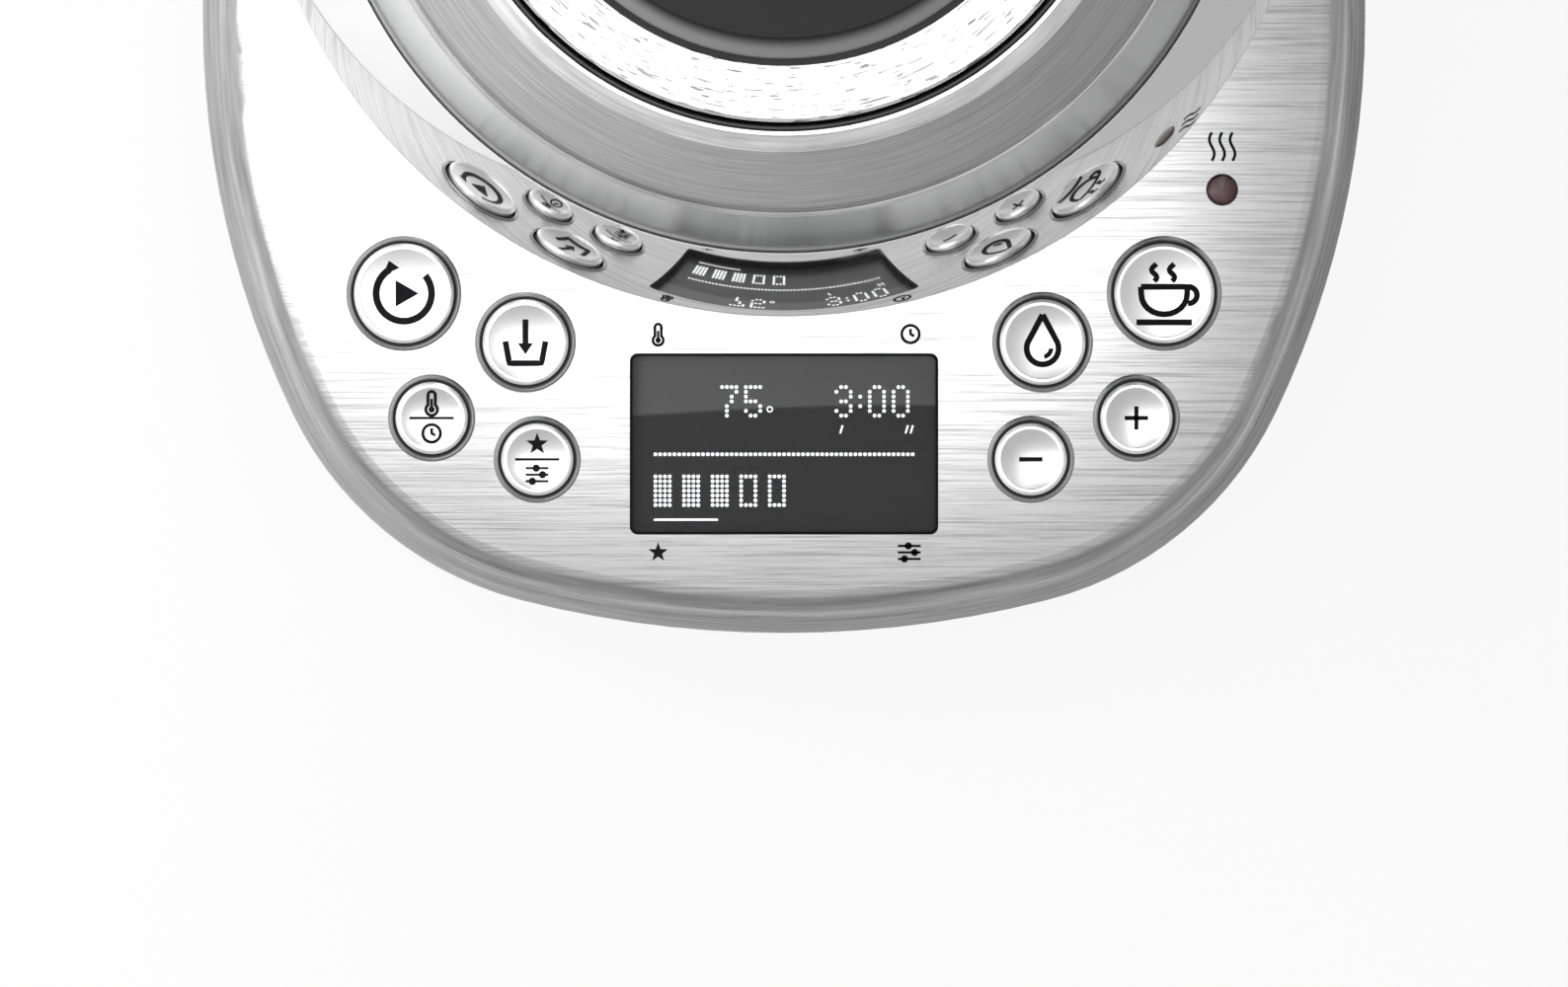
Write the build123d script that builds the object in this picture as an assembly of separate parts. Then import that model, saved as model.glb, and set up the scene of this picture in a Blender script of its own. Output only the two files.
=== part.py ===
from build123d import *
import math
import os

# Automatic tea maker: a glass jug with a motor-lifted tea basket, on a power base with a sloped-off
# edge and a flat control panel. Millimetres, +Z up, the control panel faces -Y.
# Plan sizes are drawn about the jug's axis and moved by AXIS_X, AXIS_Y when a node is written, so that
# the origin is under the middle of the whole machine. Heights in the jug count from its lowest edge.

# ---- base housing
front_radius = 173.0
front_half_angle = 14.3
corner_radius = 56.5
corner_end_angle = 64.3
side_radius = 147.3
panel_depth = 51.2
panel_height = 44.0
edge_roll = 7.0
cover_wall = 1.2
cover_bottom = 5.0
tray_bottom = 2.0
tray_floor = 2.5
tray_wall = 2.0
tray_height = 12.0
tray_gap = 0.2
rib_inset = 8.0
rib_wall = 1.6
plate_inset = 3.2
plate_thickness = 2.0
rib_height = 2.3

# ---- feet and base screws
foot_radius = 8.0
foot_recess = 1.0
front_foot = (52.0, 17.4)
rear_foot = (58.0, 55.0)
post_radius = 4.0
front_post = (70.5, 6.4)
rear_post = (66.0, 30.0)
screw_radius = 1.5
screw_head_radius = 3.5
screw_head = 2.0
screw_boss_radius = 6.0
screw_boss_top = 8.0
screw_seat = 5.0
screw_length = 13.0
thread_gap = 0.05

# ---- buttons: sideways place, depth before the jug's foot, outer radius of the ring
big_pair = (61.6, -4.0, 9.1)
upper_pair = (41.9, 3.9, 7.95)
outer_pair = (57.1, 16.2, 6.85)
lower_pair = (40.0, 22.9, 6.85)
ring_width = 0.45
ring_rise = 0.3
cap_gap = 0.35
cap_rise = 1.25
cap_chamfer = 0.5
rim_width = 0.55
dish_step = 0.3
dish_depth = 0.55
flange_extra = 1.2
flange_gap = 0.3
flange_thickness = 1.0
stem_radius = 2.0
stem_gap = 0.3
stem_length = 5.0
guide_wall = 1.3
guide_length = 1.5
button_travel = 0.8
switch_gap = 0.1

# ---- display and indicator
display_length = 50.0
display_width = 29.4
display_depth = 20.4
display_corner = 1.3
gasket_width = 0.7
gasket_lip = 1.2
gasket_lip_height = 0.4
fit_gap = 0.1
lens_thickness = 1.0
lens_recess = 0.1
module_thickness = 1.9
lamp_x = 71.0
lamp_depth = -20.8
lamp_radius = 2.5
lamp_rise = 0.3
lamp_flange = 0.9
lamp_flange_height = 1.0
lamp_length = 8.0
led_radius = 1.5

# ---- boards
board_drop = 6.5
board_thickness = 1.6
board_half_length = 66.0
board_front_depth = 32.4
board_rear_depth = -13.6
board_tab = 14.0
board_post_radius = 3.0
board_post_x = 28.0
board_post_inset = 5.0
switch_side = 6.0
switch_plunger_radius = 1.6
switch_body = 2.4
power_length = 80.0
power_width = 56.0
power_y = 42.0
power_standoff = 5.5
power_post_inset = 6.0
power_post_radius = 3.0
transformer = (26.0, 24.0, 17.0)
transformer_place = (-21.0, 2.0)
relay = (16.0, 20.0, 14.0)
relay_place = (18.0, 6.0)
terminal = (20.0, 8.0, 8.0)
terminal_place = (0.0, 22.0)
capacitor_radius = 4.0
capacitor_height = 12.0
capacitor_places = [(8.0, -14.0), (20.0, -14.0), (32.0, -14.0)]
solder_depth = 0.5
ribbon_width = 20.0
ribbon_thickness = 0.8
ribbon_height = 16.0
ribbon_inset = 2.5

# ---- cord inlet
inlet_radius = 6.0
inlet_bore = 3.6
inlet_lip = 1.5
inlet_lip_radius = 8.0
inlet_height = 22.0
inlet_length = 9.0
inlet_nut = 4.0
inlet_nut_radius = 8.0

# ---- turntable connector between base and jug
plug_radius = 16.0
plug_rise = 9.0
plug_flange_radius = 30.0
plug_body_radius = 22.0
plug_body_depth = 10.5
contact_radii = (7.5, 11.7)
groove_half_width = 1.2
groove_floor = 2.0
contact_height = 1.5
contact_gap = 0.2
pin_radius = 0.9
pin_gap = 0.5
socket_gap = 0.9
socket_wall = 7.5
socket_head = 2.3
socket_roof = 3.0
socket_flange = 3.6
socket_flange_height = 2.0
cover_hole_gap = 0.2

# ---- jug, heights above its lowest edge
jug_gap = 0.3
skirt_flare = 10.6
skirt_over_glass = 0.55
skirt_height = 13.8
skirt_wall = 1.3
base_plate_z = 0.8
base_plate_thickness = 2.0
base_plate_gap = 0.3
floor_top = 18.2
floor_wall = 1.2
floor_fit = 0.95
floor_corner = 2.0
floor_flange_gap = 0.25
gasket_thickness = 2.0
gasket_sleeve = 0.4
glass_top_radius = 67.8
glass_taper = 7.65
glass_wall = 3.0
glass_height = 132.5
element_radius = 50.0
element_tube = 4.0
element_gap = 0.1
element_sweep = 320.0
element_tail = 8.0
element_tail_radius = 2.0
floor_screw_circle = 62.0
floor_boss_radius = 3.5
floor_screw_radius = 1.4
floor_screw_head = 3.0
floor_screw_length = 9.0
sensor_place = (0.0, 34.0)
sensor_radius = 3.0
sensor_rise = 3.0
sensor_drop = 5.0

# ---- collar and its inner liner
bead_over_glass = 1.1
bead_height = 5.0
cone_under_glass = 0.3
cone_fall = 8.4
cone_height = 23.9
crown_height = 4.2
crown_width = 4.2
rim_band = 0.8
rim_drop = 1.6
collar_wall = 1.06
liner_gap = 0.2
liner_wall = 2.2
throat_gap = 0.6
throat_height = 9.0
throat_lip = 0.4
lip_drop = 0.6
ledge_width = 1.8
ledge_thickness = 1.2
top_gasket = 1.2

# ---- spout, on the side away from the handle
spout_reach = 87.5
spout_half_width = 15.0
spout_tip_half_width = 5.2
spout_wall = 1.2
spout_drop = 21.0
spout_tip_height = 7.4
spout_tip_drop = 0.6

# ---- basket lift
post_from_glass = 1.2
lift_post_radius = 5.5
lift_post_wall = 0.6
bush_length = 4.5
bush_gap = 0.05
lead_radius = 1.5
lead_fit = 0.05
pulley_radius = 3.6
pulley_height = 4.5
pulley_flange = 0.4
drive_clearance = 0.5
belt_thickness = 0.8
belt_gap = 0.1
motor_from_reach = 12.2
motor_radius = 7.0
motor_length = 22.0
motor_shaft = 1.0
pocket_half_width = 5.7
pocket_height = 6.0
case_half_width = 8.0
case_top_wall = 2.5
case_wall = 0.9
carriage_gap = 0.3
carriage_length = 22.0
carriage_z = 25.0
lift_travel = 76.0

# ---- handle
handle_from_glass = 54.2
handle_arm_top = 3.0
handle_arm_low = 2.0
handle_grip = 22.5
handle_foot = 2.0
handle_foot_height = 10.5
handle_root = 4.0
handle_end_radius = 0.5
handle_half_width = 13.0
handle_wall = 2.2
handle_round = 3.0
handle_seam_gap = 0.15
handle_screw_radius = 1.3
handle_boss_radius = 3.2
handle_screw_head = 2.6
# inside the reach, below the arm's top
handle_shoulder = [(19.0, -1.0), (1.0, 10.0), (0.0, 58.0)]
handle_shoulder_radii = [12.0, 12.0, 60.0]
handle_upper_screws = [(34.0, 8.2), (11.0, 76.8)]
# inside the reach, above the foot
handle_heel = [(4.0, 38.0), (17.0, 10.0), (31.0, 0.0)]
handle_heel_radii = [40.0, 14.0, 8.0]
handle_lower_screw = (19.0, 25.0)
# inside the grip's inner side, above the foot's top, then below the arm's underside
handle_inner_low = [(10.5, 7.5), (2.5, 25.5)]
handle_inner_low_radii = [14.0, 30.0]
handle_inner_high = [(-1.0, 36.0), (0.0, 8.0), (7.5, 0.0)]
handle_inner_high_radii = [60.0, 7.0, 6.0]

# ---- basket
basket_x = 5.0
basket_from_post = 11.0
basket_wall = 0.8
basket_z = 22.0
basket_height = 38.0
basket_rim = 1.5
basket_rim_height = 3.0
basket_ledge = 1.3
basket_lid_thickness = 1.6
basket_knob_radius = 5.0
basket_knob_height = 5.5
bracket_half_width = 6.0
bracket_gap = 0.4
bracket_arm = 4.0

# ---- lid
lid_gap = 0.7
lid_rest_gap = 0.3
lid_skirt_wall = 2.9
lid_skirt_depth = 5.2
lid_body_thickness = 2.2
seal_gap = 0.3
seal_depth = 1.3
seal_height = 2.6
seal_rise = 1.7
lid_ring_width = 9.1
lid_ring_height = 3.8
lid_ring_fall = 0.7
lid_centre_gap = 1.0
lid_centre_bevel = 3.2
lid_centre_height = 5.6
knob_height = 18.4
knob_neck = 10.5
knob_radius = 17.4

# ---- derived radii of the jug, from the glass
glass_foot_radius = glass_top_radius + glass_taper
skirt_top_radius = glass_foot_radius + skirt_over_glass
skirt_foot_radius = skirt_top_radius + skirt_flare
floor_radius = glass_foot_radius - glass_wall - floor_fit
floor_flange = glass_foot_radius - floor_flange_gap - floor_radius
bead_radius = glass_top_radius + bead_over_glass
cone_foot_radius = glass_top_radius - cone_under_glass
cone_top_radius = cone_foot_radius - cone_fall
rim_radius = cone_top_radius - crown_width
throat_radius = rim_radius - throat_gap
ledge_radius = throat_radius - ledge_width
lid_radius = throat_radius - lid_gap
lid_ring_inner = lid_radius - lid_ring_width
post_x = glass_top_radius - glass_wall - lift_post_radius - post_from_glass
basket_radius = post_x - lift_post_radius - basket_from_post - basket_x
handle_reach = glass_top_radius + handle_from_glass
motor_x = handle_reach - motor_from_reach


def on_arc(centre, radius, degrees):
    """Point of a circle, at an angle counted from straight ahead (-Y) towards +X."""
    angle = math.radians(degrees)
    return (centre[0] + radius * math.sin(angle), centre[1] - radius * math.cos(angle))


# ---- derived plan of the base: centres of the front, corner and side arcs, and the half width
panel_line = -skirt_foot_radius
front_reach = skirt_foot_radius + panel_depth
front_centre = (0.0, front_radius - front_reach)
corner_centre = on_arc(front_centre, front_radius - corner_radius, front_half_angle)
side_centre = on_arc(corner_centre, corner_radius - side_radius, corner_end_angle)
base_half_width = side_centre[0] + side_radius
foot_places = [(front_foot[0], panel_line - front_foot[1]), rear_foot]
post_places = [(front_post[0], panel_line - front_post[1]), rear_post]
display_y = panel_line - display_depth
lamp_y = panel_line - lamp_depth
board_front = panel_line - board_front_depth
board_rear = panel_line - board_rear_depth

# ---- derived heights and the machine's frame
inlet_reach = base_half_width + inlet_lip
AXIS_X = (base_half_width - handle_reach) / 2
AXIS_Y = (front_reach - inlet_reach) / 2
panel_under = panel_height - cover_wall
plate_top = panel_under - rib_height
plate_bottom = plate_top - plate_thickness
board_top = plate_bottom - board_drop
jug_z = panel_height + jug_gap
cap_side = flange_gap + cover_wall
stem_tip = panel_height - cap_side - flange_thickness - stem_length
glass_foot = base_plate_z + base_plate_thickness + floor_wall + gasket_thickness
glass_top = glass_foot + glass_height
cone_foot = glass_top + 1.4
cone_top = cone_foot + cone_height
collar_top = cone_top + crown_height
liner_foot = glass_top + top_gasket
lip_top = collar_top - lip_drop
ledge_top = lip_top - throat_height
lid_foot = ledge_top + lid_rest_gap
lid_under = lid_foot + lid_skirt_depth
lid_deck = lid_under + lid_body_thickness
floor_under = floor_top - floor_wall
post_top = liner_foot + plate_thickness
pocket_z = post_top + 0.8
pulley_z = pocket_z + drive_clearance
basket_top = basket_z + basket_height
handle_top = cone_top - handle_arm_top
handle_under = cone_foot - handle_arm_low


def disc(radius, z0, z1, x=0.0, y=0.0):
    """Upright round bar from height z0 to z1."""
    bar = Cylinder(radius, z1 - z0, align=(Align.CENTER, Align.CENTER, Align.MIN))
    return Pos(x, y, z0) * bar


def tube(outer, inner, z0, z1, x=0.0, y=0.0):
    """Upright round tube."""
    return disc(outer, z0, z1, x, y) - disc(inner, z0 - 1, z1 + 1, x, y)


def block(x0, x1, y0, y1, z0, z1):
    """Box between two corners."""
    size = Box(x1 - x0, y1 - y0, z1 - z0)
    return Pos((x0 + x1) / 2, (y0 + y1) / 2, (z0 + z1) / 2) * size


def turned(points):
    """Solid of revolution about the Z axis, from (radius, height) points."""
    face = make_face(Plane.XZ * Polyline(*points, close=True))
    return revolve(face, Axis.Z, 360)


def mirrored(places):
    """The places given for +X, with their twins at -X."""
    return [(side * x, y) for x, y in places for side in (-1, 1)]


def arc(centre, radius, start, end):
    """Arc between two such angles."""
    return ThreePointArc(*(on_arc(centre, radius, a) for a in (start, (start + end) / 2, end)))


def base_outline(inset):
    """Plan of the base as a face, moved inwards by inset: five tangent arcs, two sides, round back."""
    front, turn, side = front_centre, corner_centre, side_centre
    half = base_half_width - inset
    edges = [
        arc(front, front_radius - inset, -front_half_angle, front_half_angle),
        arc(turn, corner_radius - inset, front_half_angle, corner_end_angle),
        arc(side, side_radius - inset, corner_end_angle, 90),
        Line((half, side[1]), (half, 0)),
        arc((0, 0), half, 90, 270),
        Line((-half, 0), (-half, side[1])),
        arc((-side[0], side[1]), side_radius - inset, -90, -corner_end_angle),
        arc((-turn[0], turn[1]), corner_radius - inset, -corner_end_angle, -front_half_angle),
    ]
    return make_face(edges)


def slab(inset, z0, z1):
    """The base's plan, moved inwards by inset, between two heights."""
    return Pos(0, 0, z0) * extrude(base_outline(inset), z1 - z0)


def rounded_slab(inset, z0, z1, radius):
    """The same with its top edge rolled over."""
    body = slab(inset, z0, z1)
    return fillet(body.faces().sort_by(Axis.Z)[-1].edges(), radius)


# ---- places of the eight buttons
PAIRS = {
    ("start_button", "tea_button"): big_pair,
    ("steep_button", "water_button"): upper_pair,
    ("set_button", "plus_button"): outer_pair,
    ("custom_button", "minus_button"): lower_pair,
}
BUTTONS = {}
for (left, right), (x, depth, radius) in PAIRS.items():
    BUTTONS[left] = (-x, panel_line - depth, radius)
    BUTTONS[right] = (x, panel_line - depth, radius)


# ---- base


def base_cover():
    """Steel cover: rolled edge, flat panel with holes for buttons, display, lamp and connector."""
    cover = rounded_slab(0, cover_bottom, panel_height, edge_roll)
    cover -= rounded_slab(cover_wall, cover_bottom - 1, panel_under, edge_roll - cover_wall)
    for x, y, radius in BUTTONS.values():
        cover -= disc(radius, panel_under - 1, panel_height + 1, x, y)
    cover -= display_block(0, panel_under - 1, panel_height + 1)
    cover -= disc(lamp_radius + fit_gap, panel_under - 1, panel_height + 1, lamp_x, lamp_y)
    cover -= disc(plug_radius + cover_hole_gap, panel_under - 1, panel_height + 1)
    return cover - inlet_bar(inlet_radius + fit_gap, base_half_width - 5, base_half_width + 5)


def inlet_bar(radius, y0, y1):
    """Bar along Y at the cord inlet."""
    bar = Rot(-90, 0, 0) * Cylinder(radius, y1 - y0, align=(Align.CENTER, Align.CENTER, Align.MIN))
    return Pos(0, y0, inlet_height) * bar


def display_block(inset, z0, z1):
    """Block of the display window's outline, moved inwards by inset."""
    corner = max(display_corner - inset, 0.2)
    face = RectangleRounded(display_length - 2 * inset, display_width - 2 * inset, corner)
    return Pos(0, display_y, z0) * extrude(face, z1 - z0)


def base_tray():
    """Bottom tray with screw bosses, recesses for the feet and posts for the power board."""
    inset = cover_wall + tray_gap
    tray = slab(inset, tray_bottom, tray_bottom + tray_height)
    tray -= slab(inset + tray_wall, tray_bottom + tray_floor, tray_bottom + tray_height + 1)
    for x, y in mirrored(post_places):
        tray += disc(screw_boss_radius, tray_bottom, screw_boss_top, x, y)
        tray -= disc(screw_head_radius + fit_gap, tray_bottom - 1, screw_seat, x, y)
        tray -= disc(screw_radius + thread_gap, screw_seat - 1, screw_boss_top + 1, x, y)
    for x, y in power_posts():
        tray += disc(power_post_radius, tray_bottom, power_bottom(), x, y)
    for x, y in mirrored(foot_places):
        tray -= disc(foot_radius + fit_gap, tray_bottom - 1, tray_bottom + foot_recess, x, y)
    return tray


def rubber_feet():
    """Four soft feet in the tray's recesses."""
    return [disc(foot_radius, 0, tray_bottom + foot_recess, x, y) for x, y in mirrored(foot_places)]


def base_screws():
    """Screws that hold the tray to the chassis, with sunk heads."""
    screws = []
    for x, y in mirrored(post_places):
        head = disc(screw_head_radius, screw_seat - screw_head, screw_seat, x, y)
        screws.append(head + disc(screw_radius, screw_seat - 1, screw_seat + screw_length, x, y))
    return screws


def base_chassis():
    """Inner frame under the panel: plate, edge rib, screw posts, button guides, board posts."""
    plate = slab(plate_inset, plate_bottom, plate_top)
    rib = slab(rib_inset, plate_top - 1, panel_under)
    rib -= slab(rib_inset + rib_wall, plate_top - 2, panel_under + 1)
    plate += rib
    plate -= disc(plug_body_radius + fit_gap, plate_bottom - 1, plate_top + 1)
    plate -= disc(lamp_radius + stem_gap, plate_bottom - 1, plate_top + 1, lamp_x, lamp_y)
    flange = lamp_radius + lamp_flange + stem_gap
    plate -= disc(flange, plate_top, panel_under + 1, lamp_x, lamp_y)
    for x, y in mirrored(post_places):
        plate += disc(post_radius, screw_boss_top, plate_bottom + 1, x, y)
        plate -= disc(screw_radius + thread_gap, screw_boss_top - 1, screw_boss_top + screw_length, x, y)
    for x, y in board_posts():
        plate += disc(board_post_radius, board_top, plate_bottom + 1, x, y)
    bore = stem_radius + stem_gap
    for x, y, radius in BUTTONS.values():
        plate += disc(bore + guide_wall, plate_bottom - guide_length, plate_bottom + 1, x, y)
        plate -= disc(bore, plate_bottom - guide_length - 1, plate_top + 1, x, y)
    return plate


def button_rings():
    """Thin raised bezel round each button's hole."""
    rings = []
    for x, y, radius in BUTTONS.values():
        outer = radius - fit_gap / 2
        rings.append(tube(outer, outer - ring_width, panel_under, panel_height + ring_rise, x, y))
    return rings


def button_cap(x, y, ring_radius):
    """Button: raised rim, dished top, retaining flange and stem."""
    edge = ring_radius - fit_gap / 2 - ring_width - cap_gap
    rim = edge - cap_chamfer
    dish = rim - rim_width
    flange = edge + flange_extra
    side = -cap_side
    points = [
        (0, cap_rise - dish_step - dish_depth),
        (dish - dish_step, cap_rise - dish_step),
        (dish, cap_rise),
        (rim, cap_rise),
        (edge, cap_rise - cap_chamfer),
        (edge, side),
        (flange, side),
        (flange, side - flange_thickness),
        (stem_radius, side - flange_thickness),
        (stem_radius, side - flange_thickness - stem_length),
        (0, side - flange_thickness - stem_length),
    ]
    return Pos(x, y, panel_height) * turned(points)


def control_board():
    """Circuit board under the panel, with a tab that reaches the indicator lamp."""
    z0 = board_top - board_thickness
    board = block(-board_half_length, board_half_length, board_front, board_rear, z0, board_top)
    board = board & slab(plate_inset + cover_wall, z0 - 1, board_top + 1)
    tab = block(lamp_x - board_tab, lamp_x + 4, board_rear - 2, lamp_y + 4, z0, board_top)
    return board + tab


def board_posts():
    """Places of the posts that carry the control board."""
    rows = (board_front + board_post_inset, board_rear - board_post_inset)
    return mirrored([(board_post_x, y) for y in rows])


def tact_switches():
    """One small switch under each button's stem."""
    top = stem_tip - button_travel - switch_gap
    half = switch_side / 2
    switches = []
    for x, y, radius in BUTTONS.values():
        body = block(x - half, x + half, y - half, y + half, board_top, board_top + switch_body)
        switches.append(body + disc(switch_plunger_radius, board_top + 1, top, x, y))
    return switches


def lcd_window():
    """Clear cover of the display."""
    top = panel_height - lens_recess
    return display_block(fit_gap + gasket_width, top - lens_thickness, top)


def lcd_gasket():
    """Black frame round the window, with a lip that carries it."""
    lens_bottom = panel_height - lens_recess - lens_thickness
    bottom = lens_bottom - gasket_lip_height
    frame = display_block(fit_gap, bottom, panel_height - fit_gap / 2)
    frame -= display_block(gasket_width, lens_bottom, panel_height + 1)
    return frame - display_block(gasket_width + gasket_lip, bottom - 1, panel_height + 1)


def lcd_module():
    """Display glass with its backlight, on the chassis plate."""
    return display_block(gasket_width + fit_gap, plate_top, plate_top + module_thickness)


def lamp_lens():
    """Red lens of the indicator lamp, with a flange under the panel."""
    top = panel_height + lamp_rise
    lens = disc(lamp_radius, panel_height - lamp_length, top, lamp_x, lamp_y)
    lens = chamfer(lens.faces().sort_by(Axis.Z)[-1].edges(), lamp_rise)
    flange = lamp_radius + lamp_flange
    return lens + disc(flange, panel_under - lamp_flange_height, panel_under, lamp_x, lamp_y)


def lamp_led():
    """Light-emitting diode under the lens."""
    return disc(led_radius, board_top, panel_height - lamp_length - fit_gap, lamp_x, lamp_y)


def power_bottom():
    """Underside of the power board."""
    return tray_bottom + tray_floor + power_standoff


def power_posts():
    """Places of the tray's posts under the power board."""
    half = power_length / 2 - power_post_inset
    rows = [power_y + side * (power_width / 2 - power_post_inset) for side in (-1, 1)]
    return mirrored([(half, y) for y in rows])


def power_board():
    """Mains board with its transformer, relay and capacitors."""
    z0 = power_bottom()
    z1 = z0 + board_thickness
    half_x = power_length / 2
    half_y = power_width / 2
    board = block(-half_x, half_x, power_y - half_y, power_y + half_y, z0, z1)
    parts = [(transformer, transformer_place), (relay, relay_place), (terminal, terminal_place)]
    for (length, width, height), (x, y) in parts:
        low = Align.CENTER, Align.CENTER, Align.MIN
        part = Box(length, width, height + solder_depth, align=low)
        board += Pos(x, power_y + y, z1 - solder_depth) * part
    for x, y in capacitor_places:
        board += disc(capacitor_radius, z1 - solder_depth, z1 + capacitor_height, x, power_y + y)
    return board


def ribbon_cable():
    """Flat cable from the control board down and back to the power board."""
    half = ribbon_width / 2
    front = board_rear - ribbon_inset
    rear = power_y - power_width / 2 + ribbon_inset
    top = ribbon_height + ribbon_thickness
    cable = block(-half, half, front, front + ribbon_thickness, ribbon_height, board_top - board_thickness)
    cable += block(-half, half, front, rear, ribbon_height, top)
    return cable + block(-half, half, rear - ribbon_thickness, rear, power_bottom() + board_thickness, top)


def cord_inlet():
    """Bushing in the back wall that a mains cord comes through."""
    inner = base_half_width - cover_wall
    nut_front = math.sqrt(inner**2 - inlet_nut_radius**2) - fit_gap / 2
    bush = inlet_bar(inlet_radius, base_half_width - inlet_length, inlet_reach)
    bush += inlet_bar(inlet_lip_radius, base_half_width, inlet_reach)
    bush += inlet_bar(inlet_nut_radius, nut_front - inlet_nut, nut_front)
    return bush - inlet_bar(inlet_bore, base_half_width - inlet_length - 1, inlet_reach + 1)


def base_connector():
    """Round plug in the middle of the base, with ring grooves for the contacts."""
    top = panel_height + plug_rise
    plug = disc(plug_radius, plate_top, top)
    plug = chamfer(plug.faces().sort_by(Axis.Z)[-1].edges(), 1.5)
    plug += disc(plug_flange_radius, plate_top, panel_under)
    plug += disc(plug_body_radius, plate_top - plug_body_depth, plate_top + 1)
    floor = panel_height + groove_floor
    for radius in contact_radii:
        plug -= tube(radius + groove_half_width, radius - groove_half_width, floor, top + 1)
    return plug - disc(groove_half_width * 2, floor, top + 1)


def connector_contacts():
    """Ring contacts at the bottom of the grooves, and one in the middle."""
    low = panel_height + groove_floor
    high = low + contact_height
    half = groove_half_width - contact_gap
    rings = [tube(radius + half, radius - half, low, high) for radius in contact_radii]
    return rings + [disc(groove_half_width * 2 - contact_gap, low, high)]


# ---- jug (heights from the jug's lowest edge, raised by jug_z)


def glass_radius(height):
    """Outer radius of the glass at a height."""
    share = (height - glass_foot) / glass_height
    return glass_foot_radius + share * (glass_top_radius - glass_foot_radius)


def cone_radius(height):
    """Outer radius of the collar's cone at a height."""
    share = (height - cone_foot) / cone_height
    return cone_foot_radius + share * (cone_top_radius - cone_foot_radius)


def skirt_points(clearance):
    """Outside of the skirt, from its foot to its top, moved outwards by clearance."""
    return [(skirt_foot_radius + clearance, 0), (skirt_top_radius + clearance, skirt_height - 0.2)]


def jug_skirt():
    """Polished cone round the jug's foot."""
    lip = skirt_top_radius - 0.7
    slope = (skirt_foot_radius - skirt_top_radius) / (skirt_height - 0.2)
    inner_top = skirt_height - 1.0
    points = skirt_points(0) + [
        (skirt_top_radius - 0.2, skirt_height),
        (lip, skirt_height),
        (lip, inner_top),
        (max(lip, skirt_foot_radius - skirt_wall - slope * inner_top), inner_top - 0.01),
        (skirt_foot_radius - skirt_wall, 0),
    ]
    return turned(points)


def floor_cover():
    """Plastic plate that closes the jug from below, with bosses up to the floor."""
    slope = (skirt_foot_radius - skirt_top_radius) / (skirt_height - 0.2)
    top = base_plate_z + base_plate_thickness
    radius = skirt_foot_radius - skirt_wall - slope * top - base_plate_gap
    plate = tube(radius, socket_radius() + fit_gap * 2, base_plate_z, top)
    for x, y in floor_screw_spots():
        plate += disc(floor_boss_radius, base_plate_z, floor_under, x, y)
        plate -= disc(floor_screw_head + fit_gap, base_plate_z - 1, top - 0.2, x, y)
        pilot = floor_screw_radius + thread_gap
        plate -= disc(pilot, base_plate_z, top + floor_screw_length, x, y)
    return plate


def floor_screw_spots():
    """Three places on a circle, clear of the handle's side."""
    angles = [math.radians(a) for a in (60, 180, 300)]
    return [(floor_screw_circle * math.cos(a), floor_screw_circle * math.sin(a)) for a in angles]


def floor_screws():
    """Screws in the plate's bosses."""
    seat = base_plate_z + base_plate_thickness - 0.2
    screws = []
    for x, y in floor_screw_spots():
        head = disc(floor_screw_head, seat - 1.5, seat, x, y)
        screws.append(head + disc(floor_screw_radius, seat - 1, seat + floor_screw_length, x, y))
    return screws


def socket_radius():
    """Outer radius of the jug's socket."""
    return plug_radius + socket_gap + socket_wall


def socket_ceiling():
    """Height of the socket's ceiling, over the base's plug."""
    return plug_rise - jug_gap + socket_head


def jug_connector():
    """Socket under the jug that drops over the base's plug and turns on it."""
    roof = socket_ceiling() + socket_roof
    socket = disc(socket_radius(), base_plate_z, roof)
    flange = base_plate_z + base_plate_thickness
    socket += disc(socket_radius() + socket_flange, flange, flange + socket_flange_height)
    return socket - disc(plug_radius + socket_gap, base_plate_z - 1, socket_ceiling())


def jug_pins():
    """Contact pins that reach down into the base's grooves."""
    low = groove_floor + contact_height + pin_gap - jug_gap
    return [disc(pin_radius, low, socket_ceiling(), r, 0) for r in (0.0, *contact_radii)]


def jug_floor():
    """Pressed steel floor, with a flange that the glass stands on."""
    flange_z = base_plate_z + base_plate_thickness
    inner = floor_radius - floor_wall
    points = [
        (0, floor_under),
        (inner - floor_corner / 2, floor_under),
        (inner, floor_under - floor_corner / 2),
        (inner, flange_z),
        (floor_radius + floor_flange, flange_z),
        (floor_radius + floor_flange, flange_z + floor_wall),
        (floor_radius, flange_z + floor_wall),
        (floor_radius, floor_top - floor_corner),
        (floor_radius - floor_corner, floor_top),
        (0, floor_top),
    ]
    hole = disc(sensor_radius + thread_gap, floor_under - 1, floor_top + 1, *sensor_place)
    return turned(points) - hole


def temp_sensor():
    """Temperature probe through the floor, with a round head in the water."""
    bar = disc(sensor_radius, floor_under - sensor_drop, floor_top + sensor_rise, *sensor_place)
    return fillet(bar.faces().sort_by(Axis.Z)[-1].edges(), sensor_radius * 0.6)


def heating_element():
    """Open heater ring under the floor, with two cold tails."""
    z = floor_under - element_gap - element_tube
    start = (360 - element_sweep) / 2 - 90
    section = Plane.XZ * Pos(element_radius, z) * Circle(element_tube)
    ring = Rot(0, 0, start) * revolve(section, Axis.Z, element_sweep)
    for angle in (start, start + element_sweep):
        x = element_radius * math.cos(math.radians(angle))
        y = element_radius * math.sin(math.radians(angle))
        ring += disc(element_tail_radius, z - element_tail, z, x, y)
    return ring


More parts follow.
